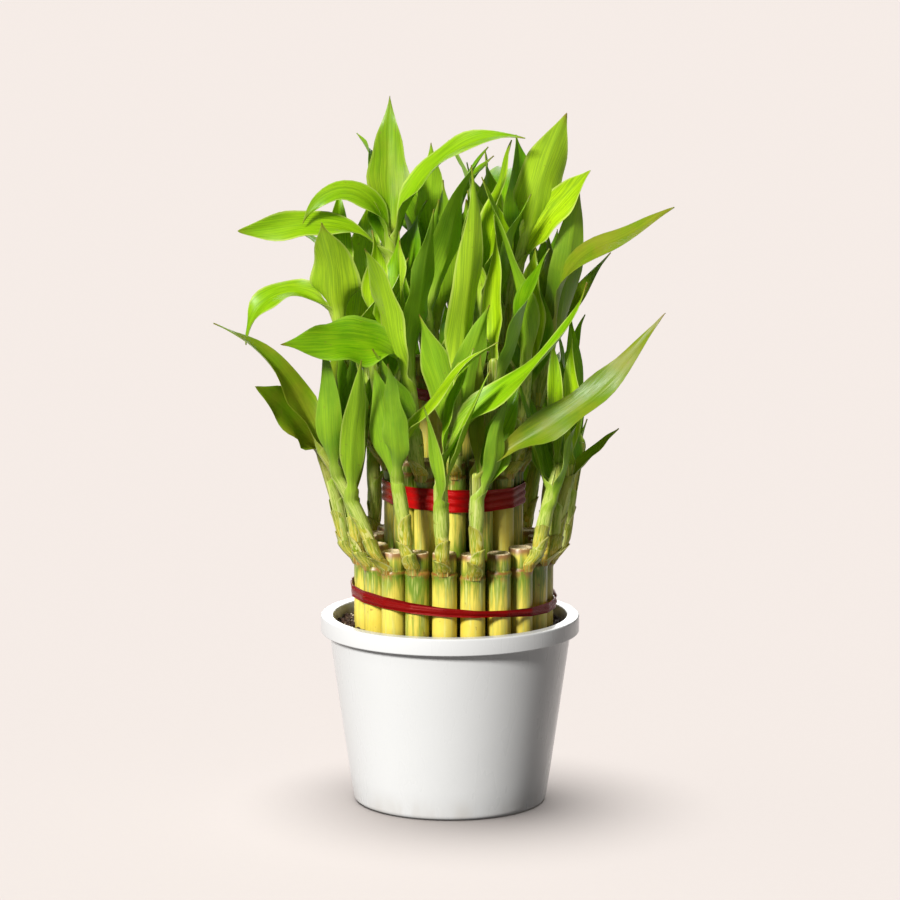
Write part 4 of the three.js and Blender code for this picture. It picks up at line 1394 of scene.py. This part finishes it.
def soil_material():
    look = Look("potting_soil")
    place = look.place()
    tint, pale = look.attribute("tint"), look.attribute("aged")
    coarse, fine = look.noise(place, 160, 4, 0.65), look.noise(place, 1100, 3, 0.6)
    earth = look.ramp(coarse, *EARTHS)
    earth = look.coats(earth, (fine, 0.45, 0.75, 0.6, (0.11, 0.065, 0.04)))
    earth = look.mix(look.times(tint, 0.3), earth, (0.06, 0.028, 0.016))
    earth = look.coats(earth, (look.noise(place, 900, 1, 0.4), 0.72, 0.76, 1, (0.4, 0.3, 0.16)))
    look.bump((coarse, 0.0008, 0.6), (fine, 0.0003, 0.7))
    return look.finish(
        Base_Color=look.mix(pale, earth, look.mix(fine, *STONES)),
        Roughness=look.span(fine, 0.3, 0.7, 0.75, 0.98),
        Specular_IOR_Level=0.25,
    )


def pot_material():
    """White, with a little dust at the foot and a stain where the soil meets the inner wall."""
    look = Look("white_pot")
    place = look.place()
    height = look.node("ShaderNodeSeparateXYZ", {"Vector": place}, "Z")
    clouds, fine = look.noise(place, 24, 3), look.noise(place, 1400, 2)
    smears = look.noise(look.upright(place, 0.2), 90, 3, 0.6)
    dust = look.times(look.span(height, *DUST_HEIGHT), look.span(smears, 0.35, 0.7))
    colour = look.mix(clouds, *POT_WHITES)
    colour = look.mix(look.times(dust, 0.3), colour, (0.4, 0.34, 0.27))
    level = {0: look.upright(place, 0)}
    out = look.node("ShaderNodeVectorMath", level, "Value", operation="LENGTH")
    stain = look.times(look.span(out, *STAIN_RADIUS), look.span(height, *STAIN_TOP))
    stain = look.times(stain, look.span(height, *STAIN_FOOT))
    stain = look.times(stain, look.span(smears, 0.3, 0.6, 0.25, 1))
    look.bump((fine, 0.00006, 0.25), (clouds, 0.0012, 0.08))
    rough = look.span(smears, 0.3, 0.7, 0.24, 0.36)
    return look.finish(
        Base_Color=look.mix(look.times(stain, 0.85), colour, (0.12, 0.075, 0.045)),
        Roughness=look.plus(rough, look.times(stain, 0.4)),
        Coat_Weight=0.35,
        Coat_Roughness=0.12,
    )


def ribbon_material():
    look = Look("red_satin")
    along, across, tint = (look.attribute(name) for name in ("along", "across", "tint"))
    threads = look.noise(look.vector(look.times(along, 9), across, 0), 1, 1)
    weave = {"Vector": look.vector(0, across, 0), "Scale": 2.2, "Distortion": 0.6}
    weft = look.node("ShaderNodeTexWave", weave, "Fac", bands_direction="Y")
    clouds = look.noise(look.place(), 120, 3)
    colour = look.mix(clouds, *SATIN_REDS)
    colour = look.coats(colour, (threads, 0.4, 0.65, 0.3, (0.6, 0.006, 0.006)))
    colour = look.mix(look.span(weft, 0.2, 0.9, 0.25, 0), colour, (0.14, 0.0006, 0.0008))
    look.bump((weft, 0.0001, 0.3), (threads, 0.0001, 0.3), (clouds, 0.0006, 0.25))
    return look.finish(
        Base_Color=look.mix(look.times(tint, 0.7), colour, (0.1, 0.0006, 0.0006)),
        Roughness=look.span(threads, 0.3, 0.7, 0.25, 0.36),
        Specular_IOR_Level=0.3,
        Specular_Tint=(1, 0.34, 0.3),
    )


def floor_material():
    look = Look("pale_floor")
    grain = look.noise(look.place(), 260, 3, 0.55)
    look.bump((grain, 0.0002, 0.1))
    return look.finish(Base_Color=look.mix(grain, *FLOOR_TINTS), Roughness=0.95, Specular_IOR_Level=0)


# The scene around the plant


def make_floor(material):
    """A round pale floor that reaches the horizon and throws no light back at the plant."""
    shape = Shape()
    shape.add(circle(FLOOR_RADIUS, FLOOR_SIDES), [tuple(range(FLOOR_SIDES))])
    floor = shape.piece("pale_floor", material, None)
    floor.visible_diffuse = False
    return floor


def gathered(name, things):
    collection = bpy.data.collections.new(name)
    for thing in things:
        collection.objects.link(thing)
    return collection


def make_light(name, lit, blockers=None):
    """A far light that shines only on the objects in lit, past all but the blockers."""
    turn, rise, energy, softness, colour = LIGHTS[name]
    data = bpy.data.lights.new(name, "SUN")
    data.energy, data.color, data.angle = energy, colour, math.radians(softness)
    lamp = add_object(name, data)
    towards = Vector(heading(turn, rise))
    lamp.location = towards * LIGHT_DISTANCE
    lamp.rotation_euler = towards.to_track_quat("Z", "Y").to_euler()
    lamp.light_linking.receiver_collection = gathered(f"{name}_reaches", lit)
    if blockers:
        lamp.light_linking.blocker_collection = gathered(f"{name}_blockers", blockers)


def make_world():
    """A dim light from all round, and the backdrop that the camera sees."""
    world = bpy.data.worlds.new("studio")
    bpy.context.scene.world = world
    world.use_nodes = True
    nodes, links = world.node_tree.nodes, world.node_tree.links
    shade, seen = nodes["Background"], nodes.new("ShaderNodeBackground")
    shade.inputs["Color"].default_value = WORLD_COLOUR
    shade.inputs["Strength"].default_value = WORLD_STRENGTH
    seen.inputs["Color"].default_value = BACKDROP_COLOUR
    path, both = nodes.new("ShaderNodeLightPath"), nodes.new("ShaderNodeMixShader")
    links.new(path.outputs["Is Camera Ray"], both.inputs[0])
    links.new(shade.outputs[0], both.inputs[1])
    links.new(seen.outputs[0], both.inputs[2])
    links.new(both.outputs[0], nodes["World Output"].inputs["Surface"])


def make_camera():
    data = bpy.data.cameras.new("camera")
    data.lens = CAMERA_LENS
    data.sensor_width = CAMERA_SENSOR
    camera = add_object("camera", data)
    target = Vector(CAMERA_TARGET)
    camera.location = target + Vector(heading(-90, CAMERA_RISE)) * CAMERA_DISTANCE
    camera.rotation_euler = (target - camera.location).to_track_quat("-Z", "Y").to_euler()
    bpy.context.scene.camera = camera


def paint(found, grown):
    """Gives each cane, shoot and leaf its own shade of green and its signs of age."""
    look = Draw(SHADE_SEED)
    for stalk in found:
        stalk["tint"] = look.part()
    for leaf in grown:
        shade = 0.48 + 0.48 * look()
        drawn = (min(1, shade + 0.25) if leaf["young"] else shade, 0)
        leaf["tint"], leaf["aged"] = SHADES.get(leaf["key"], {}).get(leaf["at"], drawn)
        leaf["browned"] = 0.2 + 0.7 * look.part()


def make_pieces(found, grown):
    """The pot, the soil, the ribbons, and each stalk's cane and shoot."""
    look, rng = Draw(LOOK_SEED), np.random.default_rng(SOIL_SEED)
    pot = make_pot(pot_material())
    make_soil(found, soil_material(), rng)
    satin = ribbon_material()
    for name in RIBBONS:
        make_ribbon(name, satin)
    cane, leaf = cane_material(), leaf_material()
    for stalk in found:
        make_cane(stalk, cane, look)
        if not stalk["bare"]:
            make_shoot(stalk, grown, leaf, look)
    return pot


def main():
    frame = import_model()
    make_camera()
    draw = Draw(GROWTH_SEED)
    found = stalks(draw)
    grown = leaves(found, draw)
    paint(found, grown)
    pot = make_pieces(found, grown)
    plant = [thing for thing in bpy.context.scene.objects if thing.type == "MESH"]
    floor = make_floor(floor_material())
    make_world()
    make_light("key", plant)
    make_light("back", plant)
    make_light("leaf_fill", [thing for thing in plant if "shoot" in thing.name])
    make_light("floor_light", [floor], blockers=[pot])
    bpy.context.scene.view_settings.view_transform = "Standard"
    print("stalks", len(found), "leaves", len(grown), "nodes", len(frame["nodes"]))


main()
